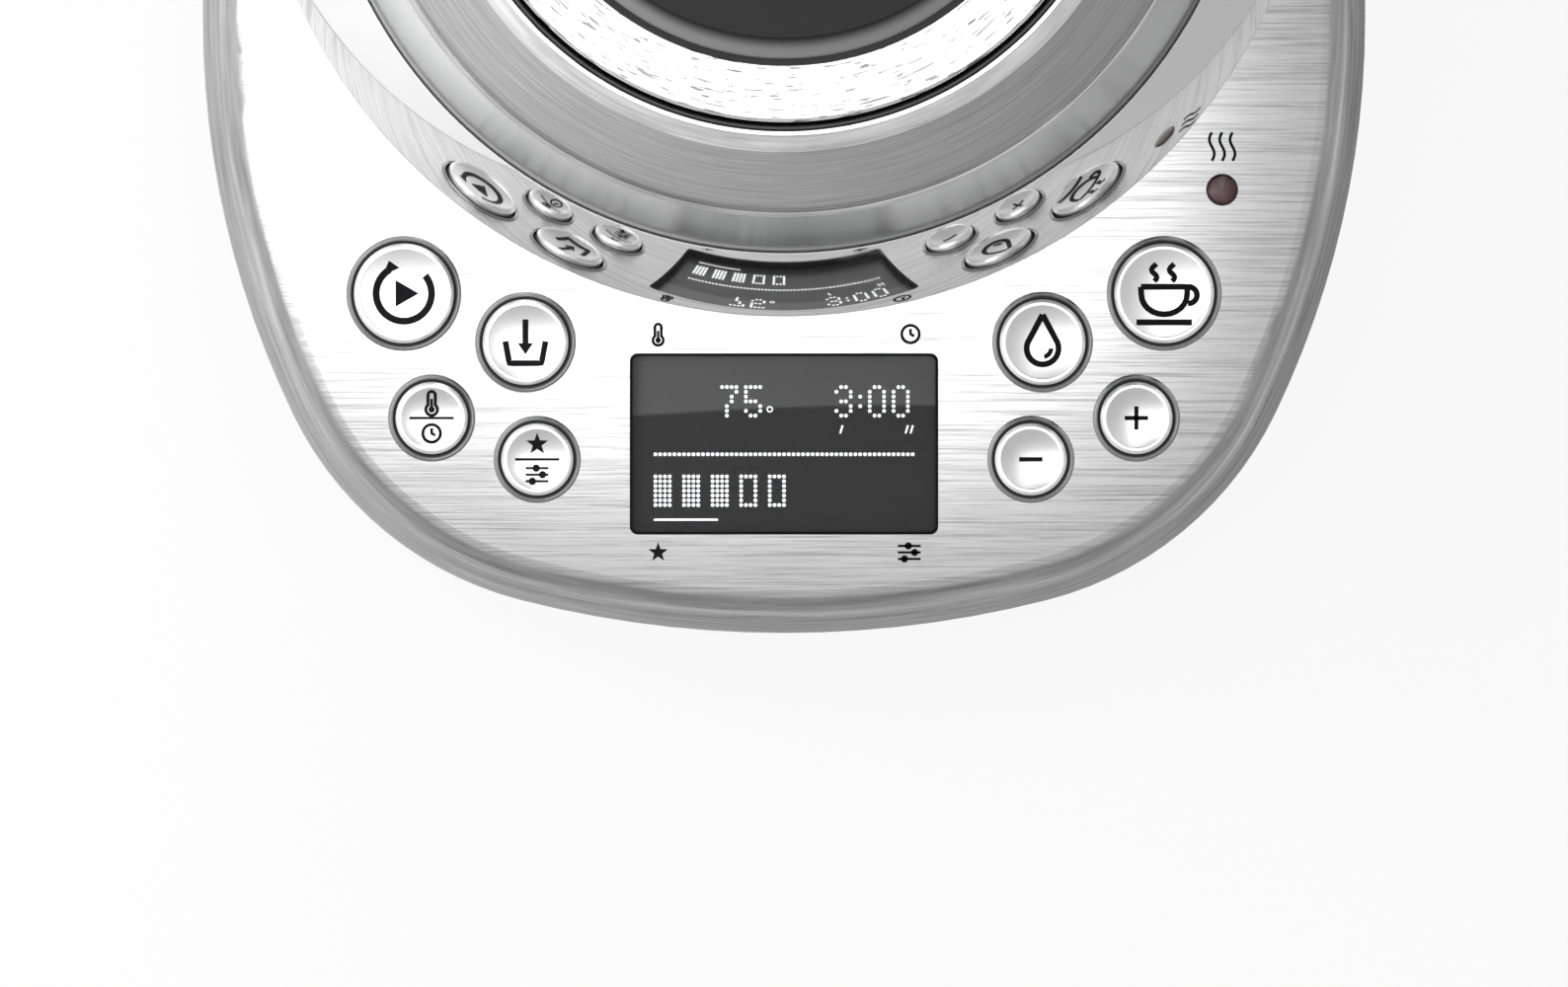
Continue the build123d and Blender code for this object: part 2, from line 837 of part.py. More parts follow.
def floor_gasket():
    """Seal between the floor and the glass."""
    low = base_plate_z + base_plate_thickness + floor_wall
    inner = floor_radius + thread_gap
    points = [
        (inner, low),
        (floor_radius + floor_flange, low),
        (floor_radius + floor_flange, glass_foot),
        (inner + gasket_sleeve, glass_foot),
        (inner + gasket_sleeve, floor_top - floor_corner - 1),
        (inner, floor_top - floor_corner - 1),
    ]
    return turned(points)


def jug_glass():
    """Tapered glass wall."""
    rim = 0.6
    points = [
        (glass_foot_radius, glass_foot),
        (glass_radius(glass_top - rim), glass_top - rim),
        (glass_top_radius - rim, glass_top),
        (glass_top_radius - glass_wall + rim, glass_top),
        (glass_radius(glass_top - rim) - glass_wall, glass_top - rim),
        (glass_foot_radius - glass_wall, glass_foot),
    ]
    return turned(points)


def collar_gasket():
    """Seal on top of the glass."""
    outer = cone_radius(liner_foot) - collar_wall - liner_gap
    return tube(outer, glass_top_radius - glass_wall + 0.2, glass_top, liner_foot)


def collar_outside(clearance):
    """Outside of the collar from its bead to its rim, moved outwards by clearance."""
    bead_foot = cone_foot - bead_height - 0.4
    return [
        (bead_radius + clearance, bead_foot),
        (bead_radius + clearance, bead_foot + bead_height - 0.9),
        (bead_radius + clearance - 0.4, bead_foot + bead_height - 0.2),
        (cone_foot_radius + clearance + 0.3, bead_foot + bead_height),
        (cone_foot_radius + clearance, cone_foot),
        (cone_top_radius + clearance, cone_top),
        (rim_radius + clearance + 2.2, collar_top - 1.1),
        (rim_radius + clearance + rim_band, collar_top),
    ]


def jug_collar():
    """Steel collar over the glass: bead, cone and rolled rim, open to the spout and the drive."""
    inside = [
        (rim_radius, collar_top),
        (rim_radius, collar_top - rim_drop),
        (cone_top_radius - collar_wall - 1.6, collar_top - rim_drop - 0.5),
        (cone_top_radius - collar_wall, cone_top - 0.5),
        (cone_radius(glass_top + 0.1) - collar_wall, glass_top + 0.1),
        (glass_top_radius + 0.15, glass_top + 0.1),
        (glass_radius(cone_foot - bead_height) + 0.3, cone_foot - bead_height - 0.4),
    ]
    collar = turned(collar_outside(0) + inside)
    return collar - drive_pocket(1.0) - spout_bore()


def collar_liner():
    """Plastic liner: seat for the lid, ledge, and case for the lift's pulley."""
    slope = (cone_foot_radius - cone_top_radius) / cone_height
    inset = collar_wall + liner_gap
    foot_outer = cone_radius(liner_foot) - inset
    top_z = cone_top - 1.4
    shell = turned([
        (foot_outer, liner_foot),
        (cone_radius(top_z) - inset, top_z),
        (rim_radius + 1.0, collar_top - rim_drop - 0.9),
        (throat_radius + throat_lip, collar_top - rim_drop - 0.7),
        (throat_radius + throat_lip, lip_top),
        (throat_radius, lip_top),
        (throat_radius, ledge_top),
        (ledge_radius, ledge_top),
        (ledge_radius, ledge_top - ledge_thickness),
        (cone_radius(ledge_top) - inset - liner_wall, ledge_top - ledge_thickness - 2),
        (foot_outer - liner_wall - slope, liner_foot + 1.3),
        (foot_outer - liner_wall - slope, liner_foot),
    ])
    case_top = pocket_z + pocket_height + case_top_wall
    case = block(0, bead_radius, -case_half_width, case_half_width, liner_foot, case_top)
    outer_cone = turned([
        (0, liner_foot),
        (foot_outer, liner_foot),
        (cone_radius(case_top) - inset, case_top),
        (0, case_top),
    ])
    liner = shell + ((case & outer_cone) - disc(case_inner(), liner_foot - 1, case_top + 1))
    liner -= disc(lift_post_radius + thread_gap, liner_foot - 1, post_top, post_x)
    liner -= disc(lead_radius + stem_gap, post_top - 1, pocket_z + 1, post_x)
    return liner - drive_pocket(0) - spout_bore()


def case_inner():
    """Radius of the pulley case's face, towards the jug's axis."""
    return post_x - pulley_radius - pulley_flange - drive_clearance - case_wall


def drive_pocket(extra):
    """Space that the pulley and the belt run in, out through the collar."""
    x0 = post_x - pulley_radius - pulley_flange - drive_clearance + extra * 5
    half = pocket_half_width + extra * 0.1
    return block(x0, bead_radius + 1, -half, half, pocket_z, pocket_z + pocket_height)


def spout_shape(inset):
    """Solid beak: a side view swept across, trimmed to a tapering plan."""
    tip = -spout_reach
    root = -(rim_radius + 1)
    top = collar_top - spout_tip_drop
    low = cone_top - spout_drop
    over = 2.0 if inset else 0.0
    side = Polyline(
        (root, cone_top - 0.6 - inset * 3),
        (tip - over, top - inset),
        (tip - over, top - spout_tip_height + inset),
        (-cone_radius(low), low + inset * 1.5),
        (root, low + inset * 1.5),
        close=True,
    )
    body = extrude(make_face(Plane.XZ * side), spout_half_width, both=True)
    wide = spout_half_width - inset
    narrow = spout_tip_half_width - inset
    plan = Polyline((root, wide), (tip - over, narrow), (tip - over, -narrow), (root, -wide), close=True)
    return body & (Pos(0, 0, low - spout_reach) * extrude(make_face(plan), spout_reach * 2))


def spout_bore():
    """Inside of the spout, carried on through the collar and its liner."""
    low = cone_top - spout_drop + spout_wall * 1.5
    high = ledge_top - ledge_thickness - 2.5
    half = spout_half_width - spout_wall
    channel = block(-bead_radius, -case_inner() + 3, -half + 2, half - 2, low, high)
    return channel + (spout_shape(spout_wall) - disc(cone_top_radius, 0, collar_top + 1))


def jug_spout():
    """Hollow steel beak on the collar."""
    shell = spout_shape(0) - spout_shape(spout_wall)
    jacket = [(0, cone_foot - bead_height)] + collar_outside(thread_gap) + [(0, collar_top)]
    return shell - turned(jacket)


def lift_post():
    """Closed steel tube that guides the basket; the lift screw runs inside it."""
    inner = lift_post_radius - lift_post_wall
    post = disc(lift_post_radius, floor_top, post_top, post_x)
    return post - disc(inner, floor_top + 1, post_top + 1, post_x)


def lead_bushes():
    """Bearing bushes at the post's two ends."""
    outer = lift_post_radius - lift_post_wall - bush_gap
    bore = lead_radius + lead_fit
    low = floor_top + 1
    lower = disc(outer, low, low + bush_length, post_x)
    lower -= disc(bore, low + 1, low + bush_length + 1, post_x)
    return [lower, tube(outer, bore, post_top - bush_length, post_top, post_x)]


def pulley(x):
    """Belt pulley with two thin flanges."""
    z1 = pulley_z + pulley_height
    wheel = disc(pulley_radius, pulley_z, z1, x)
    rim = pulley_radius + pulley_flange
    for z in (pulley_z, z1 - pulley_flange / 2):
        wheel += disc(rim, z, z + pulley_flange / 2, x)
    return wheel


def lead_screw():
    """Lift screw with its pulley."""
    return disc(lead_radius, floor_top + 2.3, pulley_z + 1, post_x) + pulley(post_x)


def motor_pulley():
    """Pulley on the motor's shaft."""
    return disc(motor_shaft, motor_top() + fit_gap * 2, pulley_z + 1, motor_x) + pulley(motor_x)


def motor_top():
    """Top face of the motor, under its pulley."""
    return pulley_z - drive_clearance * 4


def lift_motor():
    """Small motor in the top of the handle, shaft up."""
    top = motor_top()
    body = disc(motor_radius, top - motor_length, top, motor_x)
    return fillet(body.edges().filter_by(GeomType.CIRCLE), 1.0)


def belt_outline(extra):
    """Plan of a band round both pulleys, extra wider than the pulleys."""
    radius = pulley_radius + extra
    ends = [Pos(x, 0) * Circle(radius) for x in (post_x, motor_x)]
    return ends[0] + ends[1] + Pos((post_x + motor_x) / 2, 0) * Rectangle(motor_x - post_x, 2 * radius)


def drive_belt():
    """Flat belt between the pulleys."""
    band = extrude(belt_outline(belt_gap + belt_thickness), pulley_height - pulley_flange * 2)
    band -= extrude(belt_outline(belt_gap), pulley_height)
    return Pos(0, 0, pulley_z + pulley_flange) * band


def magnet_carriage():
    """Nut with magnets that climbs the lift screw inside the post."""
    outer = lift_post_radius - lift_post_wall - carriage_gap
    top = carriage_z + carriage_length
    return tube(outer, lead_radius + carriage_gap, carriage_z, top, post_x)


# ---- handle


def handle_side():
    """Side view of the handle, as a face in the XZ plane."""
    inner = handle_reach - handle_grip
    root = skirt_top_radius - handle_root
    foot_top = handle_foot + handle_foot_height
    points = [(rim_radius, handle_top)]
    points += [(handle_reach - x, handle_top - z) for x, z in handle_shoulder]
    points += [(handle_reach - x, handle_foot + z) for x, z in handle_heel]
    points += [(root, handle_foot), (root, foot_top)]
    points += [(inner - x, foot_top + z) for x, z in handle_inner_low]
    points += [(inner - x, handle_under - z) for x, z in handle_inner_high]
    points += [(rim_radius, handle_under)]
    end = [handle_end_radius]
    radii = end + handle_shoulder_radii + handle_heel_radii + end + end
    radii += handle_inner_low_radii + handle_inner_high_radii + end
    return make_face(Plane.XZ * FilletPolyline(*points, radius=radii, close=True))


def jug_jacket():
    """Outside of the jug as one solid, with the clearance of the handle's seams."""
    gap = handle_seam_gap
    points = [(0, 0)] + skirt_points(gap) + [(glass_radius(skirt_height) + gap + 0.5, skirt_height + gap)]
    points += collar_outside(gap)
    return turned(points + [(0, collar_top)])


def handle_half(side):
    """One half of the handle's shell; side is -1 for the front half and 1 for the rear one."""
    face = handle_side()
    outer = extrude(face, handle_half_width, dir=(0, side, 0))
    far = outer.faces().sort_by(Axis.Y)[0 if side < 0 else -1]
    outer = fillet(far.edges(), handle_round)
    half = outer - extrude(offset(face, -handle_wall), handle_half_width - handle_wall, dir=(0, side, 0))
    for x, z in handle_bosses():
        half += handle_bar(handle_boss_radius, x, z, 0, side * (handle_half_width - handle_wall / 2))
        half -= handle_bar(handle_screw_radius + thread_gap, x, z, 0, side * (handle_half_width - handle_wall))
        if side > 0:
            half -= handle_bar(handle_screw_head + fit_gap, x, z, handle_half_width - 2.5, handle_half_width + 1)
            half -= handle_bar(handle_screw_radius + thread_gap, x, z, 0, handle_half_width)
    half -= jug_jacket()
    window = pocket_half_width
    return half - block(rim_radius, bead_radius + 6, -window, window, pocket_z, pocket_z + pocket_height)


def handle_bosses():
    """Places of the handle's screws, in its side view."""
    upper = [(handle_reach - x, handle_top - z) for x, z in handle_upper_screws]
    x, z = handle_lower_screw
    return upper + [(handle_reach - x, handle_foot + z)]


def handle_bar(radius, x, z, y0, y1):
    """Bar along Y in the handle."""
    low, high = min(y0, y1), max(y0, y1)
    bar = Rot(-90, 0, 0) * Cylinder(radius, high - low, align=(Align.CENTER, Align.CENTER, Align.MIN))
    return Pos(x, low, z) * bar


def handle_screws():
    """Screws across the handle, with heads sunk in its rear half."""
    seat = handle_half_width - 2.5
    screws = []
    for x, z in handle_bosses():
        shank = handle_bar(handle_screw_radius, x, z, 2 - handle_half_width + handle_wall, seat + 1)
        screws.append(shank + handle_bar(handle_screw_head, x, z, seat, seat + 1.6))
    return screws


# ---- basket


def basket_cup():
    """Tea basket: thin cup with a rim and an inner ledge for its lid."""
    rim = basket_radius + basket_rim
    inner = basket_radius - basket_wall
    ledge = basket_top - basket_lid_thickness - 0.6
    points = [
        (0, basket_z),
        (basket_radius - 3, basket_z),
        (basket_radius, basket_z + 3),
        (basket_radius, basket_top - basket_rim_height),
        (rim, basket_top - basket_rim_height),
        (rim, basket_top),
        (inner, basket_top),
        (inner, ledge),
        (inner - basket_ledge, ledge),
        (inner - basket_ledge, ledge - basket_wall),
        (inner, ledge - basket_wall - 1),
        (inner, basket_z + 3.2),
        (inner - 2.6, basket_z + basket_wall),
        (0, basket_z + basket_wall),
    ]
    return Pos(basket_x, 0, 0) * turned(points)


def basket_bracket():
    """Magnet bracket that rides on the post, joined to the basket's rim."""
    top = carriage_z + carriage_length
    low_x = basket_x + basket_radius - 2
    pad = block(low_x, post_x, -bracket_half_width, bracket_half_width, carriage_z, basket_top)
    step = block(low_x - 1, post_x, -bracket_half_width - 1, bracket_half_width + 1, top, basket_top + 1)
    pad -= step - block(low_x - 2, post_x, -bracket_half_width - 2, bracket_half_width + 2, top,
                        top + bracket_arm)
    arm = block(low_x, low_x + 8, -bracket_half_width, bracket_half_width, top, basket_top)
    pad += arm
    pad -= disc(basket_radius + thread_gap, 0, basket_top + 1, basket_x)
    rim_low = basket_top - basket_rim_height
    pad -= disc(basket_radius + basket_rim + thread_gap, rim_low - 0.001, basket_top + 1, basket_x)
    pad &= disc(ledge_radius - bracket_gap / 2, 0, basket_top)
    return pad - disc(lift_post_radius + bracket_gap, 0, basket_top + 1, post_x)


def basket_lid():
    """Basket's lid with a small knob."""
    low = basket_top - basket_lid_thickness - 0.6
    radius = basket_radius - basket_wall - stem_gap
    lid = disc(radius, low, low + basket_lid_thickness, basket_x)
    knob = disc(basket_knob_radius, low, low + basket_lid_thickness + basket_knob_height, basket_x)
    return lid + fillet(knob.faces().sort_by(Axis.Z)[-1].edges(), 1.5)


# ---- lid


def lid_body():
    """Plastic underside of the lid, with a skirt and a groove for the seal."""
    groove_low = lid_foot + seal_rise
    groove_high = groove_low + seal_height
    groove = lid_radius - seal_depth
    points = [
        (0, lid_under),
        (lid_radius - lid_skirt_wall, lid_under),
        (lid_radius - lid_skirt_wall, lid_foot),
        (lid_radius, lid_foot),
        (lid_radius, groove_low),
        (groove, groove_low),
        (groove, groove_high),
        (lid_radius, groove_high),
        (lid_radius, lid_deck),
        (0, lid_deck),
    ]
    return turned(points)


def lid_seal():
    """Silicone seal in the lid's groove."""
    low = lid_foot + seal_rise + thread_gap
    high = low + seal_height - thread_gap * 2
    groove = lid_radius - seal_depth + thread_gap
    edge = throat_radius - seal_gap
    points = [
        (groove, low),
        (edge - 0.5, low),
        (edge, (low + high) / 2),
        (edge - 0.5, high),
        (groove, high),
    ]
    return turned(points)


def lid_ring():
    """Brushed steel ring on the lid."""
    top = lid_deck + lid_ring_height
    points = [
        (lid_ring_inner, lid_deck),
        (lid_ring_inner, top - 0.4),
        (lid_ring_inner + 0.5, top),
        (lid_radius - 0.7, top - lid_ring_fall),
        (lid_radius, top - lid_ring_fall - 0.7),
        (lid_radius, lid_deck),
    ]
    return turned(points)


def lid_centre():
    """Dark glossy disc in the middle of the lid."""
    radius = lid_ring_inner - lid_centre_gap
    top = lid_deck + lid_centre_height
    points = [
        (0, lid_deck),
        (radius, lid_deck),
        (radius, top - 2.2),
        (radius - 0.6, top - 1.6),
        (radius - lid_centre_bevel, top),
        (0, top),
    ]
    return turned(points)


def lid_knob():
    """Knob that the lid is lifted by."""
    low = lid_deck + lid_centre_height
    top = low + knob_height
    points = [
        (0, low),
        (knob_neck + 1.5, low),
        (knob_neck, low + 4),
        (knob_neck + 0.5, low + 10),
        (knob_radius - 0.4, top - 4.7),
        (knob_radius, top - 2.2),
        (knob_radius - 1.4, top - 0.6),
        (0, top),
    ]
    return turned(points)


BASE = {
    "base_cover": base_cover,
    "base_tray": base_tray,
    "rubber_feet": rubber_feet,
    "base_screws": base_screws,
    "base_chassis": base_chassis,
    "button_rings": button_rings,
    "control_board": control_board,
    "tact_switches": tact_switches,
    "lcd_window": lcd_window,
    "lcd_gasket": lcd_gasket,
    "lcd_module": lcd_module,
    "lamp_lens": lamp_lens,
    "lamp_led": lamp_led,
    "power_board": power_board,
    "ribbon_cable": ribbon_cable,
    "cord_inlet": cord_inlet,
    "base_connector": base_connector,
    "connector_contacts": connector_contacts,
}

JUG = {
    "jug_skirt": jug_skirt,
    "floor_cover": floor_cover,
    "floor_screws": floor_screws,
    "jug_connector": jug_connector,
    "jug_pins": jug_pins,
    "jug_floor": jug_floor,
    "temp_sensor": temp_sensor,
    "heating_element": heating_element,
    "floor_gasket": floor_gasket,
    "jug_glass": jug_glass,
    "collar_gasket": collar_gasket,
    "jug_collar": jug_collar,
    "collar_liner": collar_liner,
    "jug_spout": jug_spout,
    "lift_post": lift_post,
    "lead_bushes": lead_bushes,
    "lead_screw": lead_screw,
    "motor_pulley": motor_pulley,
    "lift_motor": lift_motor,
    "drive_belt": drive_belt,
    "magnet_carriage": magnet_carriage,
    "handle_front": lambda: handle_half(-1),
    "handle_rear": lambda: handle_half(1),
    "handle_screws": handle_screws,
    "basket_cup": basket_cup,
    "basket_bracket": basket_bracket,
    "basket_lid": basket_lid,
    "lid_body": lid_body,
    "lid_seal": lid_seal,
    "lid_ring": lid_ring,
    "lid_centre": lid_centre,
    "lid_knob": lid_knob,
}


def write(name, shape, lift):
    """Write one node, moved from the jug's axis to the machine's frame."""
    solids = shape if isinstance(shape, list) else shape.solids()
    moved = [Pos(AXIS_X, AXIS_Y, lift) * solid for solid in solids]
    body = moved[0] if len(moved) == 1 else Compound(children=moved)
    export_step(body, os.path.join("parts", name + ".step"))


os.makedirs("parts", exist_ok=True)
for name, make in BASE.items():
    write(name, make(), 0)
for name, (x, y, ring_radius) in BUTTONS.items():
    write(name, button_cap(x, y, ring_radius), 0)
for name, make in JUG.items():
    write(name, make(), jug_z)
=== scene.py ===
"""Looks of an automatic tea maker: finishes for its solids, and pieces for what shows most."""
import math

import bmesh
import bpy
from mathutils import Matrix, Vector


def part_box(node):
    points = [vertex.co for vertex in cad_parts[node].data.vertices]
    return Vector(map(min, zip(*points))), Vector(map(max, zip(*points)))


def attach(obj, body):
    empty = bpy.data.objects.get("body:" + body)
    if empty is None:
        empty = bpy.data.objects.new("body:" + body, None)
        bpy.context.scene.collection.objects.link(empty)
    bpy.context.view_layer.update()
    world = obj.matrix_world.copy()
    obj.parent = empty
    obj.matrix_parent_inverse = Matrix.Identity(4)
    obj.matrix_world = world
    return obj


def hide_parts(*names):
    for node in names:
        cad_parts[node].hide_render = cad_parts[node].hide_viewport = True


bl_info = {
    "name": "Tea maker looks",
    "version": (1, 0, 0),
    "blender": (4, 5, 0),
    "location": "3D View > Sidebar > Tea maker",
    "description": "Dresses the solids of an automatic tea maker",
    "category": "Object",
}

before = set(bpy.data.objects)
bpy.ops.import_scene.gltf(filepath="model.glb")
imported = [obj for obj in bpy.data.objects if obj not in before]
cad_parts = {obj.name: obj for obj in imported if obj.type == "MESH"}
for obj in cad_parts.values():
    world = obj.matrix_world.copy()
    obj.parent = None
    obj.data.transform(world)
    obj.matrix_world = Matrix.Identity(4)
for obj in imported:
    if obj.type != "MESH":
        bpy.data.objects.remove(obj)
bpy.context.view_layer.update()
MM = 0.001


# ---- places, taken from the frame


def at_height(spot, z):
    """The point straight above or below a spot, at a height."""
    return Vector((spot.x, spot.y, z))


class Extent:
    """A node's box: corners, middle, foot and top, and half width and height in millimetres."""

    def __init__(self, node):
        self.low, self.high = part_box(node)
        self.middle = (self.low + self.high) / 2
        self.foot = at_height(self.middle, self.low.z)
        self.top = at_height(self.middle, self.high.z)
        self.half = (self.high.x - self.low.x) / 2 / MM
        self.tall = (self.high.z - self.low.z) / MM


PANEL_Z = Extent("base_cover").high.z
SCREEN = Extent("lcd_window").middle
AXIS = Extent("jug_glass").middle
# where the jug's axis meets its foot, and where it meets the lid's deck
JUG = at_height(AXIS, Extent("jug_skirt").low.z)
DECK = at_height(AXIS, Extent("lid_ring").low.z)
# how far the lid's bevelled edge reaches in, and the lamp's flange out, in millimetres
LID_BEVEL = 3.2
LAMP_FLANGE = 0.9


def over_jug(z):
    """Height over the jug's foot, in millimetres."""
    return (z - JUG.z) / MM


# ---- settings


def tone(name, words, *levels):
    """A colour, or a grey where one level is given."""
    levels = levels * 3 if len(levels) == 1 else levels
    return bpy.props.FloatVectorProperty(
        name=name, description=words, default=levels, subtype="COLOR", min=0, max=1
    )


def number(name, words, value, **more):
    """A plain number, from 0 on unless more is said."""
    settings = {"min": 0, **more}
    return bpy.props.FloatProperty(name=name, description=words, default=value, **settings)


def length(name, words, millimetres):
    """A length."""
    return number(name, words, millimetres * MM, subtype="DISTANCE", unit="LENGTH")


class TeaMakerFinish(bpy.types.PropertyGroup):
    """Colours of the tea maker's finishes."""

    panel: tone("Panel steel", "Brushed steel of the base cover", 0.80)
    collar: tone("Collar steel", "Spun and brushed steel of the collar", 0.47)
    ring: tone("Lid steel", "Brushed steel ring of the lid", 0.84)
    mirror: tone("Polished steel", "Skirt and spout", 0.84)
    satin: tone("Button steel", "Satin steel of the buttons", 0.86)
    bezel: tone("Bezel steel", "Rings round the buttons", 0.33)
    plain: tone("Plain steel", "Pressed steel inside the jug", 0.62, 0.62, 0.61)
    black: tone("Black plastic", "Housings and handle", 0.018, 0.018, 0.019)
    gloss: tone("Gloss black", "Middle of the lid", 0.010, 0.010, 0.011)
    edge: tone("Lid edge", "Satin edge round the lid's middle", 0.17)
    screen: tone("Screen", "Display face", 0.024, 0.024, 0.025)
    # a painted glare on the display face, standing in for a reflection
    painted_glare: tone("Screen glow", "Brighter part of the display face", 0.090, 0.090, 0.091)
    dots: tone("Dots", "Lit dots of the display", 0.93, 0.94, 0.95)
    lamp: tone("Lamp", "Indicator lens", 0.085, 0.030, 0.032)
    ink: tone("Ink", "Printed marks", 0.008, 0.008, 0.009)
    rubber: tone("Rubber", "Feet, gaskets and belt", 0.022)
    seal: tone("Seal", "Soft seal of the lid", 0.010)
    grey_seal: tone("Grey seal", "Seal between the skirt and the glass", 0.36)
    glass: tone("Glass", "Jug glass", 0.97, 0.99, 0.985)


class TeaMakerSizes(bpy.types.PropertyGroup):
    """Sizes of the shaped pieces that the solids don't fix."""

    dot: length("Dot", "Diameter of a display dot", 0.61)
    dot_pitch: length("Dot pitch", "Spacing of the display dots", 0.772)
    print_depth: length("Print depth", "Thickness of printed marks", 0.03)
    stroke: length("Stroke", "Width of a printed line", 0.46)
    label_size: length("Label size", "Height of a printed label", 3.1)
    hole: length("Basket hole", "Diameter of a hole in the basket", 1.1)


class TeaMakerStage(bpy.types.PropertyGroup):
    """Lights, surroundings and camera."""

    world: number("Surroundings", "Strength of the pale surroundings", 1.0)
    soft_box: number("Soft box", "Power of the overhead soft box, in watts", 1.75)
    wash: number("Floor wash", "Power of the light on the floor at the left, in watts", 3.4)
    lens: number("Lens", "Focal length of the camera", 1000.0, min=1, unit="CAMERA")
    picture_width: length("Picture width", "Width that the picture spans at the panel", 254.08)
    look_ahead: length("Look ahead", "From the jug's axis to the middle of the picture", 115.04)


# ---- shader maths


class Value:
    """A socket whose arithmetic adds Math nodes."""

    def __init__(self, tree, socket):
        self.tree = tree
        self.socket = socket

    def maths(self, operation, first, second=0.0, clamp=False):
        """A Math node's result."""
        settings = {"operation": operation, "use_clamp": clamp}
        return self.tree.node("ShaderNodeMath", settings, {0: first, 1: second})

    def __add__(self, other):
        return self.maths("ADD", self, other)

    def __sub__(self, other):
        return self.maths("SUBTRACT", self, other)

    def __mul__(self, other):
        return self.maths("MULTIPLY", self, other)

    def __truediv__(self, other):
        return self.maths("DIVIDE", self, other)

    def __pow__(self, other):
        return self.maths("POWER", self, other)

    def __radd__(self, other):
        return self.maths("ADD", other, self)

    def __rsub__(self, other):
        return self.maths("SUBTRACT", other, self)

    def __rmul__(self, other):
        return self.maths("MULTIPLY", other, self)

    def __abs__(self):
        return self.maths("ABSOLUTE", self)

    def floored(self, low):
        """The value, and low where it would be less."""
        return self.maths("MAXIMUM", self, low)

    def clamped(self):
        """The value held between 0 and 1."""
        return self.maths("ADD", self, 0.0, clamp=True)

    def above(self, low, high):
        """0 below low, 1 above high, and smooth between them."""
        settings = {"interpolation_type": "SMOOTHSTEP"}
        return self.tree.node("ShaderNodeMapRange", settings, {0: self, 1: low, 2: high})

    def wave(self, rate):
        """A sine of the value times a rate, from 0 to 1."""
        return self.maths("SINE", self * rate) * 0.5 + 0.5


class Tree:
    """A node tree that is filled through one method."""

    def __init__(self, tree):
        self.tree = tree
        tree.nodes.clear()

    def node(self, kind, settings=None, sockets=None, output=0):
        """Add a node: its settings first, then the values or links of its sockets."""
        new = self.tree.nodes.new(kind)
        for key, setting in (settings or {}).items():
            setattr(new, key, setting)
        for key, value in (sockets or {}).items():
            self.feed(new.inputs[key], value)
        return new if output is None else Value(self, new.outputs[output])

    def feed(self, socket, value):
        """Link a value to a socket, or set it there."""
        if isinstance(value, Value):
            self.tree.links.new(value.socket, socket)
        elif socket.type == "RGBA":
            socket.default_value = (*value, 1.0)
        else:
            socket.default_value = value

    def place(self):
        """Place on the object, in metres."""
        return self.node("ShaderNodeTexCoord", output="Object")

    def split(self, vector):
        """The three parts of a vector."""
        apart = self.node("ShaderNodeSeparateXYZ", None, {0: vector}, None)
        return [Value(self, output) for output in apart.outputs]

    def join(self, x, y, z):
        """A vector of three values."""
        return self.node("ShaderNodeCombineXYZ", None, {0: x, 1: y, 2: z})

    def noise(self, vector, detail=2.0, roughness=0.5, scale=1.0):
        """Noise between 0 and 1."""
        sockets = {"Vector": vector, "Scale": scale, "Detail": detail, "Roughness": roughness}
        return self.node("ShaderNodeTexNoise", {"noise_dimensions": "3D"}, sockets)

    def cloud(self, scale, detail=2.0, roughness=0.5):
        """Even noise over the object."""
        return self.noise(self.place(), detail, roughness, scale)

    def streaks(self, stretch, detail, roughness):
        """Noise over the object, at a scale of its own along each axis."""
        settings, sockets = {"operation": "MULTIPLY"}, {0: self.place(), 1: stretch}
        return self.noise(self.node("ShaderNodeVectorMath", settings, sockets), detail, roughness)

    def scuffs(self, scale, share):
        """Sparse faint marks from handling, between 0 and 1."""
        return self.cloud(scale, 6.0, 0.65).above(1.0 - share, 1.25 - share)

    def blend(self, share, first, second, kind="MIX"):
        """Mix two colours."""
        settings = {"data_type": "RGBA", "blend_type": kind}
        return self.node("ShaderNodeMix", settings, {0: share, 6: first, 7: second}, 2)

    def tint(self, colour, level):
        """A colour times a value."""
        return self.blend(1.0, colour, self.join(level, level, level), "MULTIPLY")

    def round_place(self):
        """Distance from the jug's axis, the direction there as two values, and the height."""
        x, y, z = self.split(self.place())
        x = x - AXIS.x
        y = y - AXIS.y
        radius = (x * x + y * y) ** 0.5
        return radius, x / radius, y / radius, z


class Finish(Tree):
    """A material with one principled shader."""

    made = {}

    def __init__(self, name, metal=0.0, rough=0.4, **more):
        material = bpy.data.materials.new(name)
        material.use_nodes = True
        super().__init__(material.node_tree)
        sockets = {"Metallic": metal, "Roughness": rough}
        sockets.update({key.replace("_", " "): value for key, value in more.items()})
        self.shader = self.node("ShaderNodeBsdfPrincipled", None, sockets, None)
        self.node("ShaderNodeOutputMaterial", None, {0: Value(self, self.shader.outputs[0])}, None)
        Finish.made[name] = material

    def set(self, name, value):
        """Feed one of the shader's sockets."""
        self.feed(self.shader.inputs[name], value)

    def dress(self, colour=None, rough=None, relief=None):
        """Feed the base colour, the roughness, and a bump of (height, strength, depth)."""
        if colour is not None:
            self.set("Base Color", colour)
        if rough is not None:
            self.set("Roughness", rough)
        if relief is not None:
            height, strength, depth = relief
            sockets = {"Height": height, "Strength": strength, "Distance": depth}
            self.set("Normal", self.node("ShaderNodeBump", None, sockets))


# ---- finishes


